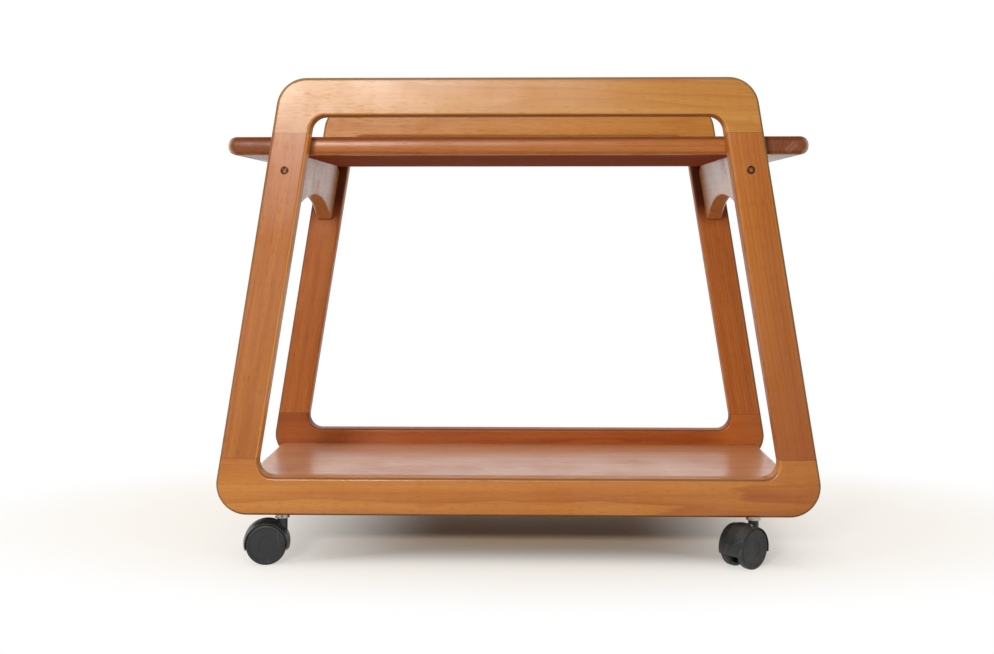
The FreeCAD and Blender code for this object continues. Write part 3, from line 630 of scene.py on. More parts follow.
@dataclass(frozen=True)
class Board:
    """Finish of one lacquered board.

    Attributes:
        name: Name of the finish.
        tone: Its colours.
        grain: Way of its grain.
        seed: Shift along the grain that tells it from other boards.
        pith: Place of the tree's pith beside the board, in the board's own axes.
        ring_spacing: Width of a growth ring.
        wander: How far rings stray along the board.
        contrast: Strength of the rings.
        gloss: Roughness of the wood under the lacquer.
        lacquer: Share of the full shine that the lacquer has.
        bare_below: Whether its underside is left without lacquer.
        sides: Share of the lacquer that its narrow sides have.
        planar: Whether it is cut from a flat plank, so that only the rounding beside its faces is an edge.
        aged: How much deeper its tone is painted towards its right-hand end, as painted shade, or paler below
            nought, as painted light.
        aged_over: Where along X that painted shift begins and ends.
        mottle: Strength of the broad drift of its tone.
        rim: Painted tone of the edges that look away from the trolley's middle, where they have one: shade
            with a grey sheen on the frames, a highlight on the leaves.
        rim_ways: Share of X, Y and Z in looking away.
        band: Levels between which a painted shade comes in on its front, where it has one.
        band_tone: Colour of that painted shade.
        inner: Tone of painted light on the sides that look towards the middle along X, where they have it.
        crest: Tone of painted shade on the edges that look up, where they have it.
        foot: Tone of painted shade on the edges that look down, where they have it.
        nose: Lower and upper level of a rounded nose, with painted shade on it, where it has one.
        scuff: Lower end of a pair of slanting scuffs on its front, where it has them.
        joints: Levels of its butt joints, where it has them.
    """

    name: str
    tone: WoodTone
    grain: Grain
    seed: float
    pith: Triple = (0.0, 0.05, -0.09)
    ring_spacing: float = 0.0052
    wander: float = 0.03
    contrast: float = 0.32
    gloss: float = 0.45
    lacquer: float = 0.8
    bare_below: bool = False
    sides: float = 1.0
    planar: bool = False
    aged: float = 0.0
    aged_over: Pair = (-0.1, 0.35)
    mottle: float = 0.75
    rim: Colour | None = None
    rim_ways: Triple = (1.0, 0.0, 1.0)
    band: Pair | None = None
    band_tone: Colour | None = None
    inner: Colour | None = None
    crest: Colour | None = None
    foot: Colour | None = None
    nose: Pair | None = None
    scuff: Triple | None = None
    joints: Pair | None = None

    def material(self) -> bpy.types.Material:
        """Build the board's material.

        Returns:
            A Principled surface with figure, pores, rubbed edges, handling marks, dark end grain and, where
            it has them, painted light and shade.
        """
        material, graph, surface = new_material(self.name)
        nodes = BoardNodes(graph, self)
        graph.fill(surface, {
            "Base Color": nodes.colour(), "Roughness": nodes.roughness(), "Normal": nodes.relief(),
            "IOR": 1.5, "Specular IOR Level": 0.12, "Coat Weight": nodes.shine(),
            "Coat Roughness": 0.26, "Coat IOR": 1.45,
        })
        return material


class BoardNodes:
    """Nodes of one board's material: the masks that it shares, then its colour, roughness and shine."""

    def __init__(self, graph: Graph, board: Board) -> None:
        """Place the coordinates, the figure and the masks.

        Args:
            graph: Graph of the material.
            board: The finish.
        """
        self.graph, self.board = graph, board
        frame = graph.add("ShaderNodeTexCoord").outputs
        self.place, self.normal = frame["Object"], frame["Normal"]
        self.spot, self.facing = graph.split(self.place), graph.split(self.normal)
        self.figure = graph.use(board_figure(), {
            "Vector": graph.mapped(self.place, board.grain.turn, (board.seed, 0.0, 0.0)),
            "Pith": board.pith, "Ring Spacing": board.ring_spacing, "Wander": board.wander,
        })
        own = graph.turned(self.normal, board.grain.turn)
        self.end = graph.spread(graph.math("ABSOLUTE", graph.split(own)["X"]), END_FACE)
        tilt = self.plank_normal() if board.planar else own
        self.worn = graph.use(edge_rub(), {"Normal": tilt, "Vector": self.place})
        self.marks = graph.use(handling(), {"Vector": self.place})
        self.below = graph.spread(self.facing["Z"], UNDERSIDE) if board.bare_below else None
        self.nose = self.marked(nose_shade(), board.nose)["Dark"] if board.nose else None

    def plank_normal(self) -> Socket:
        """Normal with its part along Y, and all that lies across Y together as Z.

        Returns:
            A normal that lies between two axes only on the rounding beside a flat plank's faces.
        """
        graph, face = self.graph, self.facing["Y"]
        across = graph.math("MAXIMUM", graph.rest(graph.times(face, face)), 0.0)
        parts = {"Y": face, "Z": graph.math("SQRT", across)}
        return graph.fill(graph.add("ShaderNodeCombineXYZ"), parts).outputs[0]

    def marked(self, tree: bpy.types.NodeTree, levels: Pair) -> bpy.types.NodeOutputs:
        """Place a group that marks the board at a lower and an upper level.

        Args:
            tree: The group.
            levels: The two levels.

        Returns:
            The group's outputs.
        """
        given = {"Vector": self.place, "Normal": self.normal, "Lower": levels[0], "Upper": levels[1]}
        takes = [item.name for item in tree.interface.items_tree if item.in_out == "INPUT"]
        return self.graph.use(tree, {title: given[title] for title in takes})

    def depth(self) -> Socket:
        """Depth of the wood's tone: rings, drift, fibre and streaks, and a painted shift of shade along X
        where it has one.

        Returns:
            Nought for the lightest tone and one for the darkest.
        """
        graph, board = self.graph, self.board
        weights = (("Mottle", board.mottle), ("Fibre", FIBRE_DEPTH), ("Streak", STREAK_DEPTH))
        parts = [(graph.centred(self.figure[title]), weight) for title, weight in weights]
        depth = graph.weighted((self.figure["Rings"], board.contrast), *parts)
        depth = graph.math("ADD", depth, START_DEPTH)
        # Painted shade towards the right-hand end, and painted light where the shift is below nought.
        if board.aged:
            depth = graph.math("ADD", depth, graph.spread(self.spot["X"], board.aged_over, (0.0, board.aged)))
        return depth

    def colour(self) -> Socket:
        """Colour of the wood with its marks, and with painted light and shade on its edges, nose and faces.

        Returns:
            The colour.
        """
        graph, board = self.graph, self.board
        colour = graph.ramp(self.depth(), board.tone.light, board.tone.middle, board.tone.dark)
        for mask, tint in ((self.end, END_GRAIN), (self.figure["Pores"], OPEN_PORES),
                           (self.worn["Rub"], RUBBED_EDGE), (self.marks["Scratch"], HAIR_SCRATCH)):
            colour = graph.tinted(colour, mask, tint)
        colour = self.edged(colour)
        # Painted shade on the nose's upper edge and foot.
        if board.nose:
            colour = graph.tinted(colour, self.nose, NOSE_SHADE)
        if board.scuff:
            given = {"Vector": self.place, "Normal": self.normal, "Start": board.scuff}
            colour = graph.tinted(colour, graph.use(scuffs(), given)["Mark"], PALE_SCUFF)
        if board.joints:
            colour = graph.tinted(colour, self.marked(butt_line(), board.joints)["Line"], JOINT_LINE)
        if board.bare_below:
            colour = graph.tinted(colour, self.below, BARE_WOOD)
        return colour

    def edged(self, colour: Source) -> Source:
        """Bring in painted light and shade on edges and faces that look one way.

        Args:
            colour: Colour of the wood.

        Returns:
            The colour with that painted light and shade.
        """
        graph, board, edge = self.graph, self.board, self.worn["Edge"]
        # Painted shade with a grey sheen on outward edges of the frames, and a painted highlight along the
        # leaves' noses.
        if board.rim:
            away = graph.dot(graph.offset(self.place, MIDDLE, board.rim_ways), self.normal)
            rim = graph.times(edge, graph.spread(away, LOOKS_AWAY, (0.0, RIM_SHARE)))
            colour = graph.mix(rim, colour, board.rim)
        # Painted light on the sides that look back towards the middle.
        if board.inner:
            away = graph.times(self.spot["X"], self.facing["X"])
            colour = graph.mix(graph.spread(away, LOOKS_BACK, (0.0, INNER_SHARE)), colour, board.inner)
        # Painted shade on a band of the front.
        if board.band:
            front = graph.spread(self.facing["Y"], FRONT, (0.0, BAND_SHARE))
            band = graph.times(graph.spread(self.spot["Z"], board.band), front)
            colour = graph.mix(band, colour, board.band_tone)
        # Painted shade on edges that look up and on edges that look down.
        for way, tone in ((1.0, board.crest), (-1.0, board.foot)):
            if tone:
                span = (UPPER_EDGE[0] * way, UPPER_EDGE[1] * way)
                level = graph.spread(self.facing["Z"], span, (0.0, LEVEL_SHARE))
                limit = graph.math("ADD", graph.times(edge, LEVEL_EDGE_SHARE), LEVEL_FLAT_SHARE)
                colour = graph.mix(graph.times(level, limit), colour, tone)
        return colour

    def roughness(self) -> Socket:
        """Roughness of the wood with its marks.

        Returns:
            The roughness.
        """
        graph, board = self.graph, self.board
        rough = graph.weighted((self.marks["Smudge"], SMUDGE_ROUGH), (self.figure["Pores"], PORE_ROUGH),
                               (self.end, END_ROUGH))
        rough = graph.math("ADD", rough, board.gloss - COUNTED_ROUGH)
        if board.bare_below:
            rough = graph.math("ADD", rough, graph.times(self.below, BARE_ROUGH))
        return rough

    def shine(self) -> Socket:
        """Share of lacquer that shines: all of it, less what marks, sides and a bare underside take.

        Returns:
            The share.
        """
        graph, board = self.graph, self.board
        dulled = [(self.marks["Smudge"], SMUDGE_DULL), (self.figure["Pores"], PORE_DULL),
                  (self.end, END_DULL), (self.worn["Edge"], EDGE_DULL)]
        if board.nose:
            dulled.append((self.nose, NOSE_DULL))
        shine = graph.math("MAXIMUM", graph.rest(graph.weighted(*dulled)), 0.0)
        shine = graph.times(shine, board.lacquer)
        if board.sides < 1.0:
            face = graph.math("ABSOLUTE", self.facing["Y"])
            shine = graph.times(shine, graph.spread(face, WIDE_FACE, (board.sides, 1.0)))
        if board.bare_below:
            shine = graph.times(shine, graph.rest(self.below))
        return shine

    def relief(self) -> Socket:
        """Fine relief of raised fibre and sunk pores.

        Returns:
            Its normal.
        """
        raised = self.graph.times(self.graph.centred(self.figure["Fibre"]), FIBRE_RELIEF)
        height = self.graph.math("SUBTRACT", raised, self.figure["Pores"])
        return self.graph.bump(height, strength=0.35, distance=0.0001)


# Tones that marks bring into plastic, where its grain flecks it, and what lies on faces turned up
FLECK = Tint(0.2, display(84, 84, 86))
FLECKED: Pair = (0.3, 0.75)
RUBBED_PLASTIC = Tint(0.1, display(140, 138, 134))
SCRATCHED_PLASTIC = Tint(0.2, display(150, 148, 146))
SMUDGED_PLASTIC_ROUGH = 0.12
DUST: Colour = display(168, 160, 148)
TURNED_UP: Pair = (0.3, 1.0)


@dataclass(frozen=True)
class Moulding:
    """Finish of a moulded plastic piece.

    Attributes:
        name: Name of the finish.
        colour: Colour of the plastic.
        gloss: Its roughness.
        dust: Share of dust that lies on faces turned up.
    """

    name: str
    colour: Colour
    gloss: float
    dust: float

    def material(self) -> bpy.types.Material:
        """Build the plastic.

        Returns:
            A Principled surface with fine moulded grain, scuffs along edges and a little settled dust.
        """
        material, graph, surface = new_material(self.name)
        frame = graph.add("ShaderNodeTexCoord").outputs
        marks = graph.use(handling(), {"Vector": frame["Object"]})
        rub = graph.use(edge_rub(), {"Normal": frame["Normal"], "Vector": frame["Object"]})["Rub"]
        fleck = graph.spread(marks["Grain"], FLECKED, (0.0, FLECK.share))
        colour = graph.mix(fleck, self.colour, FLECK.tone)
        colour = graph.tinted(colour, rub, RUBBED_PLASTIC)
        colour = graph.tinted(colour, marks["Scratch"], SCRATCHED_PLASTIC)
        up = graph.spread(graph.split(frame["Normal"])["Z"], TURNED_UP, (0.0, self.dust))
        colour = graph.mix(graph.times(up, marks["Smudge"]), colour, DUST)
        rough = graph.math("ADD", graph.times(marks["Smudge"], SMUDGED_PLASTIC_ROUGH), self.gloss)
        relief = graph.bump(marks["Grain"], strength=0.2, distance=0.00006)
        graph.fill(surface, {"Base Color": colour, "Roughness": rough, "Normal": relief, "IOR": 1.48})
        return material


# Noise of tarnish, the fade at its edge, and what tarnish and scratches add to a metal's roughness
TARNISH = Noise((190.0, 190.0, 190.0), 4.0, 0.6)
TARNISH_FADE = 0.25
TARNISH_ROUGH, SCRATCH_ROUGH = 0.22, 0.15

# Tone of a painted highlight in the middle of a head, the share of its radius within which it is full, and
# the ways that its radius takes in
PAINTED_GLINT = Tint(0.8, display(150, 124, 102))
GLINT_FULL_SHARE = 0.3
SPOT_WAYS: Triple = (1.0, 0.0, 1.0)


@dataclass(frozen=True)
class Metal:
    """Finish of a metal fitting.

    Attributes:
        name: Name of the finish.
        colour: Colour of the bare metal.
        tarnish: Colour of its tarnish.
        spread: Share of the surface that is tarnished.
        gloss: Roughness of the bare metal.
        glint: Distance of a painted highlight from the middle plane, its level and its radius, where it has
            one.
    """

    name: str
    colour: Colour
    tarnish: Colour
    spread: float
    gloss: float
    glint: Triple | None = None

    def material(self) -> bpy.types.Material:
        """Build the metal.

        Returns:
            A Principled surface with bare and tarnished patches, brighter edges, fine scratches and, where it
            has one, a painted highlight in the middle of a head.
        """
        material, graph, surface = new_material(self.name)
        frame = graph.add("ShaderNodeTexCoord").outputs
        marks = graph.use(handling(), {"Vector": frame["Object"]})
        rub = graph.use(edge_rub(), {"Normal": frame["Normal"], "Vector": frame["Object"]})["Rub"]
        clear = 1.0 - self.spread / 2
        dull = graph.spread(graph.noise(frame["Object"], TARNISH), (clear - TARNISH_FADE, clear))
        dull = graph.times(dull, graph.rest(rub))
        colour = graph.mix(dull, self.colour, self.tarnish)
        # Painted highlight: lighter metal in the middle of a bolt's head.
        if self.glint:
            out, level, radius = self.glint
            away = graph.offset(graph.vector("ABSOLUTE", frame["Object"]), (out, 0.0, level), SPOT_WAYS)
            span = (radius, GLINT_FULL_SHARE * radius)
            spot = graph.spread(graph.length(away), span, (0.0, PAINTED_GLINT.share))
            colour = graph.mix(spot, colour, PAINTED_GLINT.tone)
        rough = graph.weighted((dull, TARNISH_ROUGH), (marks["Scratch"], SCRATCH_ROUGH))
        rough = graph.math("ADD", rough, self.gloss)
        relief = graph.bump(marks["Scratch"], strength=0.25, distance=0.00005)
        graph.fill(surface, {"Base Color": colour, "Roughness": rough, "Normal": relief, "Metallic": 1.0})
        return material


Finish = Union[Board, Moulding, Metal]


def new_material(name: str) -> tuple[bpy.types.Material, Graph, bpy.types.Node]:
    """Start a material.

    Args:
        name: Its name.

    Returns:
        The material, its graph and its Principled surface.
    """
    material = bpy.data.materials.new(name)
    material.use_nodes = True
    return material, Graph(material.node_tree), material.node_tree.nodes["Principled BSDF"]


def dress(frame: dict, finish: Finish, *nodes: str) -> None:
    """Give solids of the frame a finish.

    Args:
        finish: The finish.
        nodes: Names of the solids.
    """
    material = finish.material()
    for node in nodes:
        for slot in frame["nodes"][node].material_slots:
            slot.link = "OBJECT"
            slot.material = material
        log.info("%s is finished in %s", node, finish.name)


def loop_faces(rows: int, loop: int) -> np.ndarray:
    """Quads of a grid whose rows are closed loops: each place joins the next place and the next row.

    Args:
        rows: Number of rows.
        loop: Number of places in a row.

    Returns:
        Four point numbers for each quad, where row r and place c is point r * loop + c.
    """
    row = np.arange(rows - 1)[:, None] * loop
    place = np.arange(loop)[None, :]
    after = (place + 1) % loop
    corners = [row + place, row + after, row + loop + after, row + loop + place]
    return np.stack(corners, axis=-1).reshape(-1, 4)


def new_piece(name: str, points: np.ndarray, quads: np.ndarray, finish: Finish, body: str, slot: str,
              *nodes: str) -> None:
    """Make a piece that stands for solids of the frame and moves with a body.

    Points that fall together are merged, which closes seams and poles, and faces are turned outwards.

    Args:
        name: Name of the piece.
        points: Its points, one row of X, Y and Z each.
        quads: Four point numbers for each face.
        finish: Its finish.
        body: Body that carries it.
        slot: Material slot of the record; not used.
        nodes: Names of the solids that it stands for.
    """
    mesh = bpy.data.meshes.new(name)
    mesh.from_pydata(points.tolist(), [], quads.tolist())
    build = bmesh.new()
    build.from_mesh(mesh)
    bmesh.ops.remove_doubles(build, verts=build.verts, dist=WELD)
    bmesh.ops.recalc_face_normals(build, faces=build.faces)
    build.to_mesh(mesh)
    build.free()
    mesh.shade_smooth()
    mesh.set_sharp_from_angle(angle=CRISP)
    mesh.materials.append(finish.material())
    item = bpy.data.objects.new(name, mesh)
    bpy.context.scene.collection.objects.link(item)
    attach(item, body)
    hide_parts(*nodes)
    log.info("%s stands for %s, with %d faces", name, ", ".join(nodes), len(mesh.polygons))


@dataclass(frozen=True)
class NosedBoard:
    """Board with a round nose along one edge, and with crowned or flat ends.

    Attributes:
        root: Distance of its straight edge from the middle plane.
        tip: Distance of its nose from the middle plane.
        middle: Level of the middle of its thickness.
        half: Half its thickness.
        reach: How far the nose's rounding reaches back from the tip.
        flat: Half the height of the flat at the tip.
        half_length: Half its length.
        crown: How far its ends stand out.
        steps: Points on each quarter of a rounding.
    """

    root: float
    tip: float
    middle: float
    half: float
    reach: float
    flat: float
    half_length: float
    crown: float
    steps: int = 12

    def section(self) -> np.ndarray:
        """Outline of the section: along the top, round the nose and back along the bottom.

        At angle a from upright the nose's point is reach * sin(a) out from the nose's start, and
        flat + (half - flat) * cos(a) above the middle. The lower half mirrors the upper.

        Returns:
            Distance outwards and height above the middle for each point.
        """
        angle = np.linspace(0.0, QUARTER, self.steps)
        out = self.tip - self.reach + self.reach * np.sin(angle)
        rise = self.flat + (self.half - self.flat) * np.cos(angle)
        across = np.concatenate([[self.root], out, out[::-1], [self.root]])
        up = np.concatenate([[self.half], rise, -rise[::-1], [-self.half]])
        return np.stack([across, up], axis=-1)

    def points(self, hand: int, crosswise: bool) -> np.ndarray:
        """Carry the section along the board, drawn in towards its middle line at both ends.

        At angle a the section is drawn in to the share sin(a), from none at the middle of an end to all
        of it where the end begins, and stands crown * cos(a) out from there.

        Args:
            hand: 1 or -1 for the side of the middle plane.
            crosswise: Whether the board runs along Y, with its nose along X, and not the other way.

        Returns:
            The points, row by row.
        """
        section = self.section()
        spine = section * (1.0, 0.0)
        spine[:, 0] = np.minimum(spine[:, 0], self.tip - self.reach)
        angle = np.linspace(0.0, QUARTER, self.steps)
        share = np.concatenate([np.sin(angle), np.sin(angle)[::-1]])
        out = self.half_length - self.crown + self.crown * np.cos(angle)
        along = np.concatenate([-out, out[::-1]])
        drawn = spine + share[:, None, None] * (section - spine)
        way = np.broadcast_to(along[:, None], drawn.shape[:2])
        across = hand * drawn[..., 0]
        level = self.middle + drawn[..., 1]
        order = (across, way, level) if crosswise else (way, across, level)
        return np.stack(order, axis=-1).reshape(-1, 3)

    def quads(self) -> np.ndarray:
        """Faces between the rows of points."""
        return loop_faces(2 * self.steps, len(self.section()))


@dataclass(frozen=True)
class SlottedScrew:
    """Countersunk wood screw with a slot across its head.

    Attributes:
        head_radius: Radius of the head.
        head_depth: Depth of the countersunk head.
        shank_radius: Radius of the shank over the thread.
        length: Whole length.
        tip: Length of the point.
        neck: Length below the head that has no thread.
        slot_half: Half the width of the slot.
        slot_depth: Depth of the slot.
        thread: Depth of the thread.
        pitch: Rise of the thread in one turn.
        lines: Lines of points on each side of the slot.
        places: Points on each of those lines.
        rings: Rings of points along one turn of the thread.
        first_turn: Angle at which the first screw's slot is left.
        next_turn: Angle from there to the next screw's slot.
    """

    head_radius: float = 0.003
    head_depth: float = 0.0014
    shank_radius: float = 0.0016
    length: float = 0.014
    tip: float = 0.003
    neck: float = 0.003
    slot_half: float = 0.00045
    slot_depth: float = 0.0007
    thread: float = 0.0003
    pitch: float = 0.0014
    lines: int = 7
    places: int = 5
    rings: int = 5
    first_turn: float = 0.7
    next_turn: float = 2.2

    def radius(self, depth: np.ndarray) -> np.ndarray:
        """Radius at a depth below the top: a cone, a straight shank and a point.

        Args:
            depth: The depths.

        Returns:
            The radius at each of them.
        """
        shoulder = self.length - self.tip
        wide, slim = self.head_radius, self.shank_radius
        return np.interp(depth, [0.0, self.head_depth, shoulder, self.length], [wide, slim, slim, 0.0])

    def head(self) -> np.ndarray:
        """Top of the head as lines beside the slot, which drop at its two walls to its floor.

        A line at a distance y from the middle is sqrt(r * r - y * y) long to each side, where r is the
        radius at the line's own depth.

        Returns:
            Points of the lines, with depth below the top as the third number.
        """
        first = math.asin(self.slot_half / self.head_radius)
        beside = self.head_radius * np.sin(np.linspace(first, QUARTER, self.lines))
        offset = np.concatenate([-beside[::-1], [-self.slot_half, self.slot_half], beside])
        depth = np.zeros_like(offset)
        depth[self.lines:self.lines + 2] = self.slot_depth
        reach = np.sqrt(np.maximum(self.radius(depth) ** 2 - offset ** 2, 0.0))
        along = reach[:, None] * np.linspace(-1.0, 1.0, self.places)[None, :]
        level = [np.broadcast_to(value[:, None], along.shape) for value in (offset, depth)]
        return np.stack([along, *level], axis=-1)

    def shape(self) -> tuple[np.ndarray, np.ndarray]:
        """Whole screw: the head's top, and rings from its rim down to the point.

        A ring's radius is the screw's radius at its depth, less half the thread times one plus the cosine
        of the turns that the thread has made there.

        Returns:
            Points with the third number as depth, and quads.
        """
        top = self.head()
        lines, places = top.shape[:2]
        number = np.arange(lines * places).reshape(lines, places)
        squares = [number[:-1, :-1], number[1:, :-1], number[1:, 1:], number[:-1, 1:]]
        cover = np.stack(squares, axis=-1).reshape(-1, 4)
        rim = np.concatenate([top[:, -1], top[::-1, 0]])
        count = int(round((self.length - self.head_depth) / self.pitch * self.rings))
        below = np.linspace(self.head_depth, self.length, count + 1)
        stage = np.concatenate([[0.0, self.slot_depth], below])
        depth = np.maximum(stage[:, None], rim[None, :, 2])
        angle = np.arctan2(rim[:, 1], rim[:, 0])[None, :]
        start = self.head_depth + self.neck
        cut = np.interp(depth, [start, start + self.pitch, self.length - self.tip, self.length], [0, 1, 1, 0])
        wave = 1.0 + np.cos(2.0 * math.pi * depth / self.pitch - angle)
        radius = self.radius(depth) - self.thread / 2 * cut * wave
        rings = np.stack([radius * np.cos(angle), radius * np.sin(angle), depth], axis=-1)
        points = np.concatenate([top.reshape(-1, 3), rings.reshape(-1, 3)])
        return points, np.concatenate([cover, lines * places + loop_faces(len(stage), len(rim))])

    def driven(self, seats: np.ndarray, way: Triple) -> tuple[np.ndarray, np.ndarray]:
        """Drive a screw into each seat, with every slot left at another angle.

        Args:
            seats: Middles of the heads, one row each.
            way: Direction into the wood.

        Returns:
            Points and quads of all the screws.
        """
        points, quads = self.shape()
        inward = np.array(way)
        across = np.array((0.0, 1.0, 0.0))
        along = np.cross(across, inward)
        turn = self.first_turn + self.next_turn * np.arange(len(seats))[:, None]
        first = np.cos(turn) * along + np.sin(turn) * across
        second = np.cos(turn) * across - np.sin(turn) * along
        axes = np.stack([first, second, np.broadcast_to(inward, first.shape)], axis=1)
        placed = seats[:, None, :] + points[None] @ axes
        start = len(points) * np.arange(len(seats))[:, None, None]
        return placed.reshape(-1, 3), (start + quads[None]).reshape(-1, 4)


@dataclass
class Frames:
    """Front and rear frame, each of two rails and two splayed legs.

    Attributes:
        rim: Painted shade with a grey sheen on the edges that look outwards, and painted shade on the
            rounding along the top rails.
        inner: Painted light on the front left leg's inner side.
        corner: Painted highlight on the inner corners of the front rails.
        crest: Painted shade on the bottom rails' upper edges.
        foot: Painted shade on the rails' lower edges.
        shade: Tone of the rear legs' upper ends.
        shaded: Levels between which that tone comes in.
        deep: Painted shade on the front right leg's lower end.
        deepened: Levels between which that tone comes in.
        rounding: Height of the rounding along the top rails.
        sides: Share of the lacquer that narrow sides have.
        contrast: Strength of the rings in top and bottom rails.
        mottle: Drift of tone in top and bottom rails.
        pith_depth: Depth of the pith beside front and rear rails.
        pith_level: Level of the pith beside top and bottom rails.
        leg_pith: Place of the pith beside a leg.
        lacquer: Share of the full shine, by frame or by board.
        shade_shifts: Painted shift of a rail's tone towards its right-hand end: shade on the front bottom
            rail, light on the rear bottom rail.
        tones: Colours of each board; the rear bottom rail's darker tone is painted shade.
        seeds: Shift along the grain of each board.
    """

    rim: Colour = display(126, 98, 62)
    inner: Colour = display(240, 164, 76)
    corner: Colour = display(216, 142, 64)
    crest: Colour = display(120, 66, 28)
    foot: Colour = display(122, 64, 20)
    shade: Colour = display(48, 18, 7)
    shaded: Pair = (0.42, 0.465)
    deep: Colour = display(164, 80, 18)
    deepened: Pair = (0.34, 0.1)
    rounding: float = 0.0065
    sides: float = 0.2
    contrast: dict[str, float] = field(default_factory=lambda: {"top": 0.32, "bottom": 0.52})
    mottle: dict[str, float] = field(default_factory=lambda: {"top": 0.75, "bottom": 1.5})
    pith_depth: dict[str, float] = field(default_factory=lambda: {"front": 0.1, "rear": -0.25})
    pith_level: dict[str, float] = field(default_factory=lambda: {"top": 0.5, "bottom": 0.1})
    leg_pith: Triple = (0.0, -0.06, 0.34)
    lacquer: dict[str, float] = field(default_factory=lambda: {
        "front": 1.0, "rear": 0.42, "rear_top_rail": 0.26,
    })
    # Painted shade deepens the front bottom rail towards its right-hand end; painted light lifts the rear
    # bottom rail's right-hand end.
    shade_shifts: dict[str, dict] = field(default_factory=lambda: {
        "front_bottom_rail": {"aged": 0.12},
        "rear_bottom_rail": {"aged": -0.7, "aged_over": (0.27, 0.34)},
    })
    tones: dict[str, WoodTone] = field(default_factory=lambda: {
        "front_top_rail": AMBER, "front_bottom_rail": TAWNY,
        "rear_top_rail": AMBER, "rear_bottom_rail": SHADED_UMBER,
        "front_left_leg": RUSSET, "front_right_leg": HONEY,
        "rear_left_leg": DEEP, "rear_right_leg": DEEP,
    })
    seeds: dict[str, float] = field(default_factory=lambda: {
        "front_top_rail": 0.0, "front_bottom_rail": 1.7, "rear_top_rail": 3.1, "rear_bottom_rail": 4.8,
        "front_left_leg": 7.3, "front_right_leg": 8.6, "rear_left_leg": 10.2, "rear_right_leg": 11.5,
    })

    def board(self, name: str, side: str, grain: Grain, **own: object) -> Board:
        """Finish of one board, with lines at the butt joints.

        Args:
            name: Name of its solid.
            side: Frame that it belongs to.
            grain: Way of its grain.
            own: Further values of the finish that the boards don't share.

        Returns:
            The finish.
        """
        low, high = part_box("front_left_leg")
        # Painted shade with a grey sheen comes onto each board's outward edges.
        return Board(f"teak_{name}", self.tones[name], grain, self.seeds[name], joints=(low.z, high.z),
                     lacquer=self.lacquer.get(name, self.lacquer[side]), sides=self.sides, planar=True,
                     rim=self.rim, **own)

    def rail(self, name: str, side: str, level: str) -> Board:
        """Finish of a rail.

        Args:
            name: Name of its solid.
            side: Frame that it belongs to.
            level: Top or bottom.

        Returns:
            The finish.
        """
        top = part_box("front_top_rail")[1].z
        # Painted highlight on the front rails' inner corners, and painted shade on the top rails' upper
        # rounding, the bottom rails' upper edges and the rails' lower edges.
        return self.board(
            name, side, Grain.LENGTHWISE, pith=(0.0, self.pith_depth[side], self.pith_level[level]),
            contrast=self.contrast[level], mottle=self.mottle[level],
            inner=self.corner if side == "front" else None,
            band=(top - self.rounding, top) if level == "top" else None, band_tone=self.rim,
            crest=self.crest if level == "bottom" else None,
            foot=None if name == "rear_top_rail" else self.foot, **self.shade_shifts.get(name, {}),
        )

    def leg(self, name: str, side: str, grain: Grain) -> Board:
        """Finish of a leg.

        Args:
            name: Name of its solid.
            side: Frame that it belongs to.
            grain: Way of its grain.

        Returns:
            The finish.
        """
        # Painted shadow of the tray on the rear legs' upper ends, painted shade on the front right leg's
        # lower end, and painted light on the front left leg's inner side.
        if side == "rear":
            own = {"band": self.shaded, "band_tone": self.shade}
        elif name == "front_right_leg":
            own = {"band": self.deepened, "band_tone": self.deep}
        else:
            own = {"inner": self.inner}
        return self.board(name, side, grain, pith=self.leg_pith, **own)

    def dress(self, frame: dict) -> None:
        """Finish each board with its own figure.
        """
        for side in SIDES:
            for level in ("top", "bottom"):
                name = f"{side}_{level}_rail"
                dress(frame, self.rail(name, side, level), name)
            for hand, grain in zip(HANDS, (Grain.LEFT_LEG, Grain.RIGHT_LEG)):
                name = f"{side}_{hand}_leg"
                dress(frame, self.leg(name, side, grain), name)


@dataclass
class CrossRails:
    """Arched rails that join the frames, with their bolts, nuts and dowels.

    Attributes:
        first_seed: Shift along the grain of the left rail.
        glint_radius: Radius of the painted highlight in a bolt's head.
    """

    first_seed: float = 11.0
    glint_radius: float = 0.0028

    def dress(self, frame: dict) -> None:
        """Finish the rails and what holds them.
        """
        for index, hand in enumerate(HANDS):
            name = f"{hand}_cross_rail"
            board = Board(f"teak_{name}", CANE_AND_SHEEN, Grain.CROSSWISE, self.first_seed + index, lacquer=1.0)
            dress(frame, board, name)
        low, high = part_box("cross_rail_bolts")
        # Place of the painted highlight in the middle of each bolt's head.
        glint = (high.x - (high.z - low.z) / 2, (low.z + high.z) / 2, self.glint_radius)
        bronze = Metal("bronzed_steel", colour=display(104, 62, 40), tarnish=display(58, 30, 18),
                       spread=0.7, gloss=0.46, glint=glint)
        dress(frame, bronze, "cross_rail_bolts", "cross_rail_barrel_nuts")
        level = Board("beech_level", BEECH, Grain.CROSSWISE, seed=21.0)
        dress(frame, level, "cross_rail_dowels", "shelf_dowels")
        upright = Board("beech_upright", BEECH, Grain.UPRIGHT, seed=22.0)
        dress(frame, upright, "leg_dowels", "top_panel_dowels")


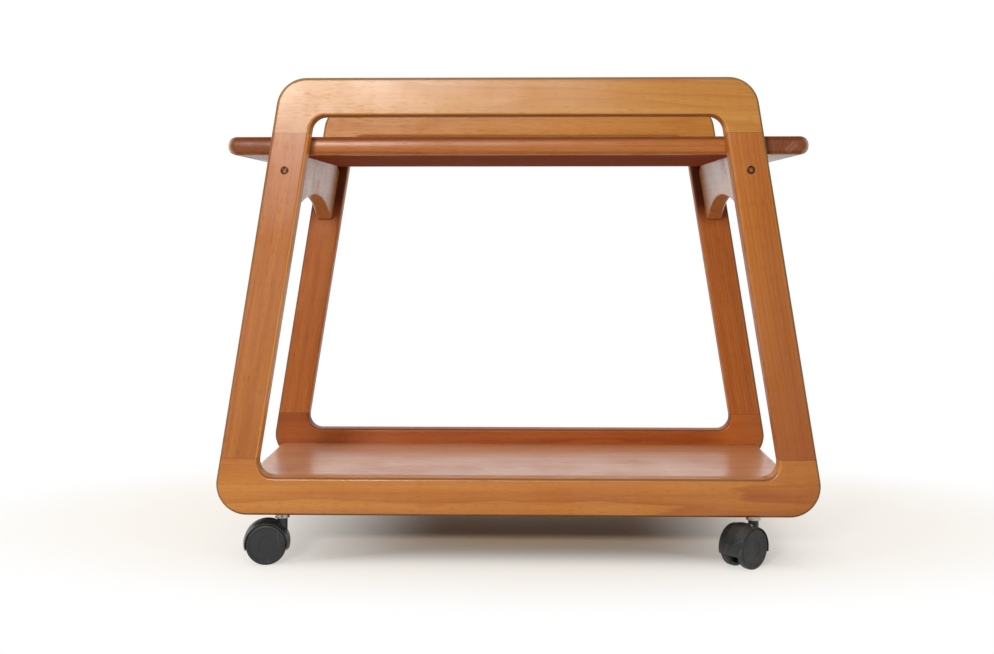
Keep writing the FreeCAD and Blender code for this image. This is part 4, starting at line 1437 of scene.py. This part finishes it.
@dataclass
class Tray:
    """Top tray: centre panel, front and rear lipping and two leaves.

    Attributes:
        crown: How far the lippings' noses and the leaves' ends stand out.
        leaf_nose: How far the leaves' noses reach back.
        leaf_glint: Painted highlight along the leaves' noses.
        leaf_scuff: Lower end of the scuffs on the right leaf's front.
        lipping_seed: Shift along the grain of the front lipping.
        leaf_seed: Shift along the grain of the left leaf.
    """

    crown: float = 0.0035
    leaf_nose: float = 0.0105
    leaf_glint: Colour = display(216, 190, 170)
    leaf_scuff: Triple = (0.334, -0.173, 0.512)
    lipping_seed: float = 15.0
    leaf_seed: float = 16.0

    def dress(self, frame: dict) -> None:
        """Finish the panel, and make the lippings and the leaves with their rounded noses.
        """
        panel = Board("teak_veneer_top", TRAY, Grain.LENGTHWISE, seed=14.0, pith=(0.0, 0.02, 0.34),
                      ring_spacing=0.0065, wander=0.05, bare_below=True)
        dress(frame, panel, "top_panel")
        low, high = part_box("rear_top_lipping")
        nose = (low.z, high.z)
        middle, half = (low.z + high.z) / 2, (high.z - low.z) / 2
        lipping = NosedBoard(low.y, high.y, middle, half, self.crown, 0.0, high.x, 0.0)
        low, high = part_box("right_leaf")
        flat = half - self.leaf_nose
        leaf = NosedBoard(low.x, high.x, middle, half, self.leaf_nose, flat, high.y, self.crown)
        for index, (side, hand) in enumerate(zip(SIDES, HANDS)):
            way = 2 * index - 1
            # Painted shade on the upper edge and the foot of each nose, on lippings and leaves alike.
            board = Board(f"teak_{side}_lipping", TRAY, Grain.LENGTHWISE, self.lipping_seed + index,
                          lacquer=0.5, nose=nose)
            new_piece(f"{side}_nosed_lipping", lipping.points(way, False), lipping.quads(), board, "frame",
                      "teak_edge", f"{side}_top_lipping")
            # Painted highlight along each leaf's nose.
            board = Board(f"teak_{hand}_leaf", LEAF, Grain.CROSSWISE, self.leaf_seed + index,
                          pith=(0.0, 0.25, 0.62), lacquer=0.75, nose=nose, rim=self.leaf_glint,
                          rim_ways=(1.0, 0.0, 0.0), scuff=self.leaf_scuff if hand == "right" else None)
            new_piece(f"{hand}_nosed_leaf", leaf.points(way, True), leaf.quads(), board, f"{hand}_leaf",
                      "teak_edge", f"{hand}_leaf")


@dataclass
class Shelf:
    """Lower shelf with a lipping at each end."""

    def dress(self, frame: dict) -> None:
        """Finish the shelf's boards.
        """
        panel = Board("teak_veneer_shelf", SHELF, Grain.LENGTHWISE, seed=18.0, pith=(0.0, -0.03, -0.10),
                      ring_spacing=0.006, wander=0.05, lacquer=0.95, bare_below=True)
        dress(frame, panel, "lower_shelf")
        lipping = Board("teak_shelf_lipping", SHELF, Grain.CROSSWISE, seed=19.0)
        dress(frame, lipping, "left_shelf_lipping", "right_shelf_lipping")


@dataclass
class LeafHinges:
    """Butt hinges under the leaves, with slotted screws.

    Attributes:
        spacing: Distance between the middles of a leaf's two hinges.
        screw_spacing: Distance between the two screws of a plate.
        reach: Distance of the screws from the pin, along the plate.
        face: Distance of the plate's face from the pin's middle.
    """

    spacing: float = 0.21
    screw_spacing: float = 0.03
    reach: float = 0.014
    face: float = 0.0016

    def dress(self, frame: dict) -> None:
        """Finish the plates and pins in tarnished brass, and drive the screws.
        """
        brass = Metal("hinge_brass", colour=display(196, 160, 92), tarnish=display(112, 84, 44),
                      spread=0.45, gloss=0.28)
        bright = Metal("screw_brass", colour=display(226, 196, 132), tarnish=display(150, 116, 66),
                       spread=0.35, gloss=0.3)
        kinds = ("rail_plates", "leaf_plates", "pins")
        dress(frame, brass, *[f"{hand}_hinge_{kind}" for hand in HANDS for kind in kinds])
        for index, hand in enumerate(HANDS):
            side = 2 * index - 1
            low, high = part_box(f"{hand}_hinge_pins")
            pin = ((low.x + high.x) / 2, (low.z + high.z) / 2)
            slope = (side * math.sin(SPLAY), -math.cos(SPLAY))
            inward = (-side * math.cos(SPLAY), -math.sin(SPLAY))
            self.drive(bright, f"{hand}_hinge_rail_screws", "frame", pin, slope, inward)
            self.drive(bright, f"{hand}_hinge_leaf_screws", f"{hand}_leaf", pin, (side, 0.0), (0.0, 1.0))

    def drive(self, bright: Metal, node: str, body: str, pin: Pair, along: Pair, inward: Pair) -> None:
        """Drive the screws of one kind of plate.

        Args:
            bright: Their finish.
            node: The solids that they stand for.
            body: Body that carries them.
            pin: Place of the hinge pin, across and up.
            along: Direction along the plate, across and up.
            inward: Direction into the wood, across and up.
        """
        spot = np.array(pin) + self.reach * np.array(along) + self.face * np.array(inward)
        ends = np.array((-1.0, 1.0))
        depth = (self.spacing / 2 * ends[:, None] + self.screw_spacing / 2 * ends[None, :]).ravel()
        seats = np.stack([np.full_like(depth, spot[0]), depth, np.full_like(depth, spot[1])], axis=-1)
        points, quads = SlottedScrew().driven(seats, (inward[0], 0.0, inward[1]))
        new_piece(f"{node}_slotted", points, quads, bright, body, "hinge_brass", node)


@dataclass
class Castors:
    """Four twin-wheel castors."""

    def dress(self, frame: dict) -> None:
        """Finish the hoods, wheels, stems, axles and sockets.
        """
        hood = Moulding("castor_hood", colour=display(22, 27, 25), gloss=0.34, dust=0.05)
        wheel = Moulding("castor_wheel", colour=display(27, 28, 31), gloss=0.48, dust=0.04)
        steel = Metal("castor_steel", colour=display(176, 170, 160), tarnish=display(96, 84, 70),
                      spread=0.5, gloss=0.24)
        for finish, kinds in ((hood, ("hood",)), (wheel, ("wheel_one", "wheel_two")),
                              (steel, ("socket", "stem", "axle"))):
            dress(frame, finish, *[f"{corner}_castor_{kind}" for corner in CORNERS for kind in kinds])


@dataclass(frozen=True)
class SoftBox:
    """Rectangular lamp with soft light.

    Attributes:
        name: Name of the lamp.
        place: Where its middle is.
        aim: Point that it faces.
        size: Width and height.
        power: Power in watts.
    """

    name: str
    place: Triple
    aim: Triple
    size: Pair
    power: float

    def build(self) -> None:
        """Hang the lamp and turn it to its aim."""
        lamp = bpy.data.lights.new(self.name, "AREA")
        lamp.shape = "RECTANGLE"
        lamp.size, lamp.size_y = self.size
        lamp.energy = self.power
        item = bpy.data.objects.new(self.name, lamp)
        item.location = self.place
        item.rotation_euler = (Vector(self.aim) - Vector(self.place)).to_track_quat("-Z", "Y").to_euler()
        bpy.context.scene.collection.objects.link(item)


@dataclass(frozen=True)
class PhotoView:
    """Camera that sees the trolley as the photograph does.

    Attributes:
        width: Width of the image in pixels.
        height: Height of the image in pixels.
        focal: Focal length in pixels.
        vanishing_column: Column where lines from front to rear meet.
        horizon_row: Row of the horizon.
        eye: Place of the camera.
        sensor: Width of the sensor in millimetres.
    """

    width: int = 994
    height: int = 654
    focal: float = 1270.0
    vanishing_column: float = 526.0
    horizon_row: float = 222.0
    eye: Triple = (0.0113, -1.768, 0.424)
    sensor: float = 36.0

    def build(self) -> None:
        """Set the camera level, turned a little to the left, with the frame shifted down."""
        lens = bpy.data.cameras.new("photo_view")
        lens.sensor_fit = "HORIZONTAL"
        lens.sensor_width = self.sensor
        lens.lens = self.focal * self.sensor / self.width
        lens.shift_y = (self.horizon_row - self.height / 2) / self.width
        item = bpy.data.objects.new("photo_view", lens)
        turn = math.atan((self.vanishing_column - self.width / 2) / self.focal)
        item.location = self.eye
        item.rotation_euler = (QUARTER, 0.0, turn)
        bpy.context.scene.collection.objects.link(item)
        bpy.context.scene.camera = item


@dataclass
class Studio:
    """White floor and surroundings, soft lamps and the camera.

    Attributes:
        floor_half: Half the floor's length.
        shadow_middle: Middle of the shadow on the floor.
        shadow_reach: How far the shadow reaches along each axis.
        shadow_tint_over: Distances, in reaches, over which the floor's painted warm shadow tint runs out.
        white_over: Distances, in reaches, over which the floor runs out into white.
        white_share: Share of glow that the white far floor adds.
        shade_middle: Middle of the part of the floor that doesn't glow.
        shade_aside: Distances along X over which the glow comes in.
        shade_ahead: Distances along Y over which the glow comes in.
        glow_share: Share of glow beside the trolley.
        floor_colour: Colour of the floor.
        floor_shadow_tint: Painted warm tint of the shadow on it near the trolley.
        floor_bounce: Its colour for light that it throws back at the trolley.
        floor_glow: Colour of its glow beside the trolley.
        dim_side: Strength of the room on the camera's side.
        room_over: Ways from front to rear over which the room grows white.
        mirror_over: Ways from front to rear over which shine shows it in full white.
        left_lean: How far the white part leans to the left.
        zenith: What the ceiling adds.
        flank: What the walls on both sides add.
    """

    floor_half: float = 9.0
    shadow_middle: Triple = (0.02, 0.06, 0.0)
    shadow_reach: Triple = (0.28, 0.15, 1.0)
    shadow_tint_over: Pair = (0.6, 1.6)
    white_over: Pair = (1.7, 3.2)
    white_share: float = 0.3
    shade_middle: Triple = (0.025, 0.07, 0.0)
    shade_aside: Pair = (0.12, 0.42)
    shade_ahead: Pair = (0.18, 0.31)
    glow_share: float = 0.7
    floor_colour: Colour = display(250, 242, 231)
    floor_shadow_tint: Colour = display(252, 220, 172)
    floor_bounce: Colour = (0.2, 0.18, 0.16)
    floor_glow: Colour = display(253, 249, 243)
    dim_side: float = 0.115
    room_over: Pair = (-0.05, 0.35)
    mirror_over: Pair = (0.0, 0.2)
    left_lean: float = 0.1
    zenith: float = 0.3
    flank: float = 0.15

    def build(self) -> None:
        """Build the whole studio."""
        self.floor()
        self.surroundings()
        for lamp in (
            SoftBox("window", (-0.62, -2.27, 0.97), aim=(-0.1, -0.2, 0.4), size=(0.45, 0.22), power=26.5),
            SoftBox("side_pane", (-0.08, -2.27, 0.97), aim=(0.0, -0.2, 0.4), size=(0.5, 0.22), power=6.6),
            SoftBox("overhead", (-0.5, -1.0, 2.2), aim=(0.0, -0.3, 0.0), size=(2.2, 1.6), power=10.0),
        ):
            lamp.build()
        PhotoView().build()
        bpy.context.scene.view_settings.view_transform = "Standard"

    def floor(self) -> None:
        """Lay a pale floor that takes the shadow near the trolley and runs out into white."""
        reach = self.floor_half
        mesh = bpy.data.meshes.new("floor")
        corners = [(-reach, -reach, 0.0), (reach, -reach, 0.0), (reach, reach, 0.0), (-reach, reach, 0.0)]
        mesh.from_pydata(corners, [], [(0, 1, 2, 3)])
        item = bpy.data.objects.new("floor", mesh)
        bpy.context.scene.collection.objects.link(item)
        mesh.materials.append(self.pale_floor())

    def pale_floor(self) -> bpy.types.Material:
        """Build the floor's material.

        Returns:
            A matt surface near the trolley, blended with a white glow away from it where it is seen.
        """
        material, graph, surface = new_material("pale_floor")
        place = graph.add("ShaderNodeTexCoord").outputs["Object"]
        away = graph.vector("DIVIDE", graph.vector("SUBTRACT", place, self.shadow_middle), self.shadow_reach)
        distance = graph.length(away)
        parts = graph.split(graph.vector("SUBTRACT", place, self.shade_middle))
        aside, ahead = [graph.math("ABSOLUTE", parts[axis]) for axis in ("X", "Y")]
        beside = [graph.spread(gap, span, (0.0, self.glow_share))
                  for gap, span in ((aside, self.shade_aside), (ahead, self.shade_ahead))]
        beyond = graph.spread(distance, self.white_over)
        glow = graph.math("ADD", graph.math("MAXIMUM", *beside), graph.times(beyond, self.white_share))
        path = graph.add("ShaderNodeLightPath").outputs
        seen = graph.math("MAXIMUM", path["Is Camera Ray"], path["Is Glossy Ray"])
        seen = graph.math("MAXIMUM", seen, path["Is Transmission Ray"])
        # Painted warm tint in the shadow near the trolley, running out into the floor's own colour.
        pale = graph.mix(graph.spread(distance, self.shadow_tint_over), self.floor_shadow_tint, self.floor_colour)
        colour = graph.mix(seen, self.floor_bounce, pale)
        graph.fill(surface, {"Base Color": colour, "Roughness": 0.6, "Specular IOR Level": 0.2})
        tone = graph.mix(beyond, self.floor_glow, WHITE)
        white = graph.fill(graph.add("ShaderNodeEmission"), {"Color": tone}).outputs[0]
        blend = graph.add("ShaderNodeMixShader")
        for socket, source in zip(blend.inputs, (graph.times(glow, seen), surface.outputs[0], white)):
            graph.feed(socket, source)
        graph.feed(material.node_tree.nodes["Material Output"].inputs["Surface"], blend.outputs[0])
        return material

    def surroundings(self) -> None:
        """Make the room white behind the trolley and on its left, and dim towards the camera's side."""
        world = bpy.data.worlds.new("white_room")
        bpy.context.scene.world = world
        world.use_nodes = True
        graph = Graph(world.node_tree)
        way = graph.split(graph.add("ShaderNodeTexCoord").outputs["Generated"])
        behind = graph.math("ADD", way["Y"], graph.times(way["X"], -self.left_lean))
        room = graph.spread(behind, self.room_over, (self.dim_side, 1.0))
        height = graph.math("MAXIMUM", way["Z"], 0.0)
        sky = graph.weighted((graph.times(height, height), self.zenith),
                             (graph.times(way["X"], way["X"]), self.flank))
        path = graph.add("ShaderNodeLightPath").outputs
        mirrored = graph.math("MAXIMUM", path["Is Glossy Ray"], path["Is Transmission Ray"])
        mirrored = graph.times(mirrored, graph.spread(behind, self.mirror_over))
        seen = graph.math("MAXIMUM", path["Is Camera Ray"], mirrored)
        strength = graph.math("MAXIMUM", graph.math("ADD", room, sky), seen)
        graph.fill(world.node_tree.nodes["Background"], {"Color": WHITE, "Strength": strength})


def main() -> None:
    """Load the solids, finish every piece and set the studio."""
    logging.basicConfig(level=logging.INFO, format="%(message)s")
    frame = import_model()
    for assembly in (Frames(), CrossRails(), Tray(), Shelf(), LeafHinges(), Castors()):
        assembly.dress(frame)
    Studio().build()


if __name__ == "__main__":
    main()
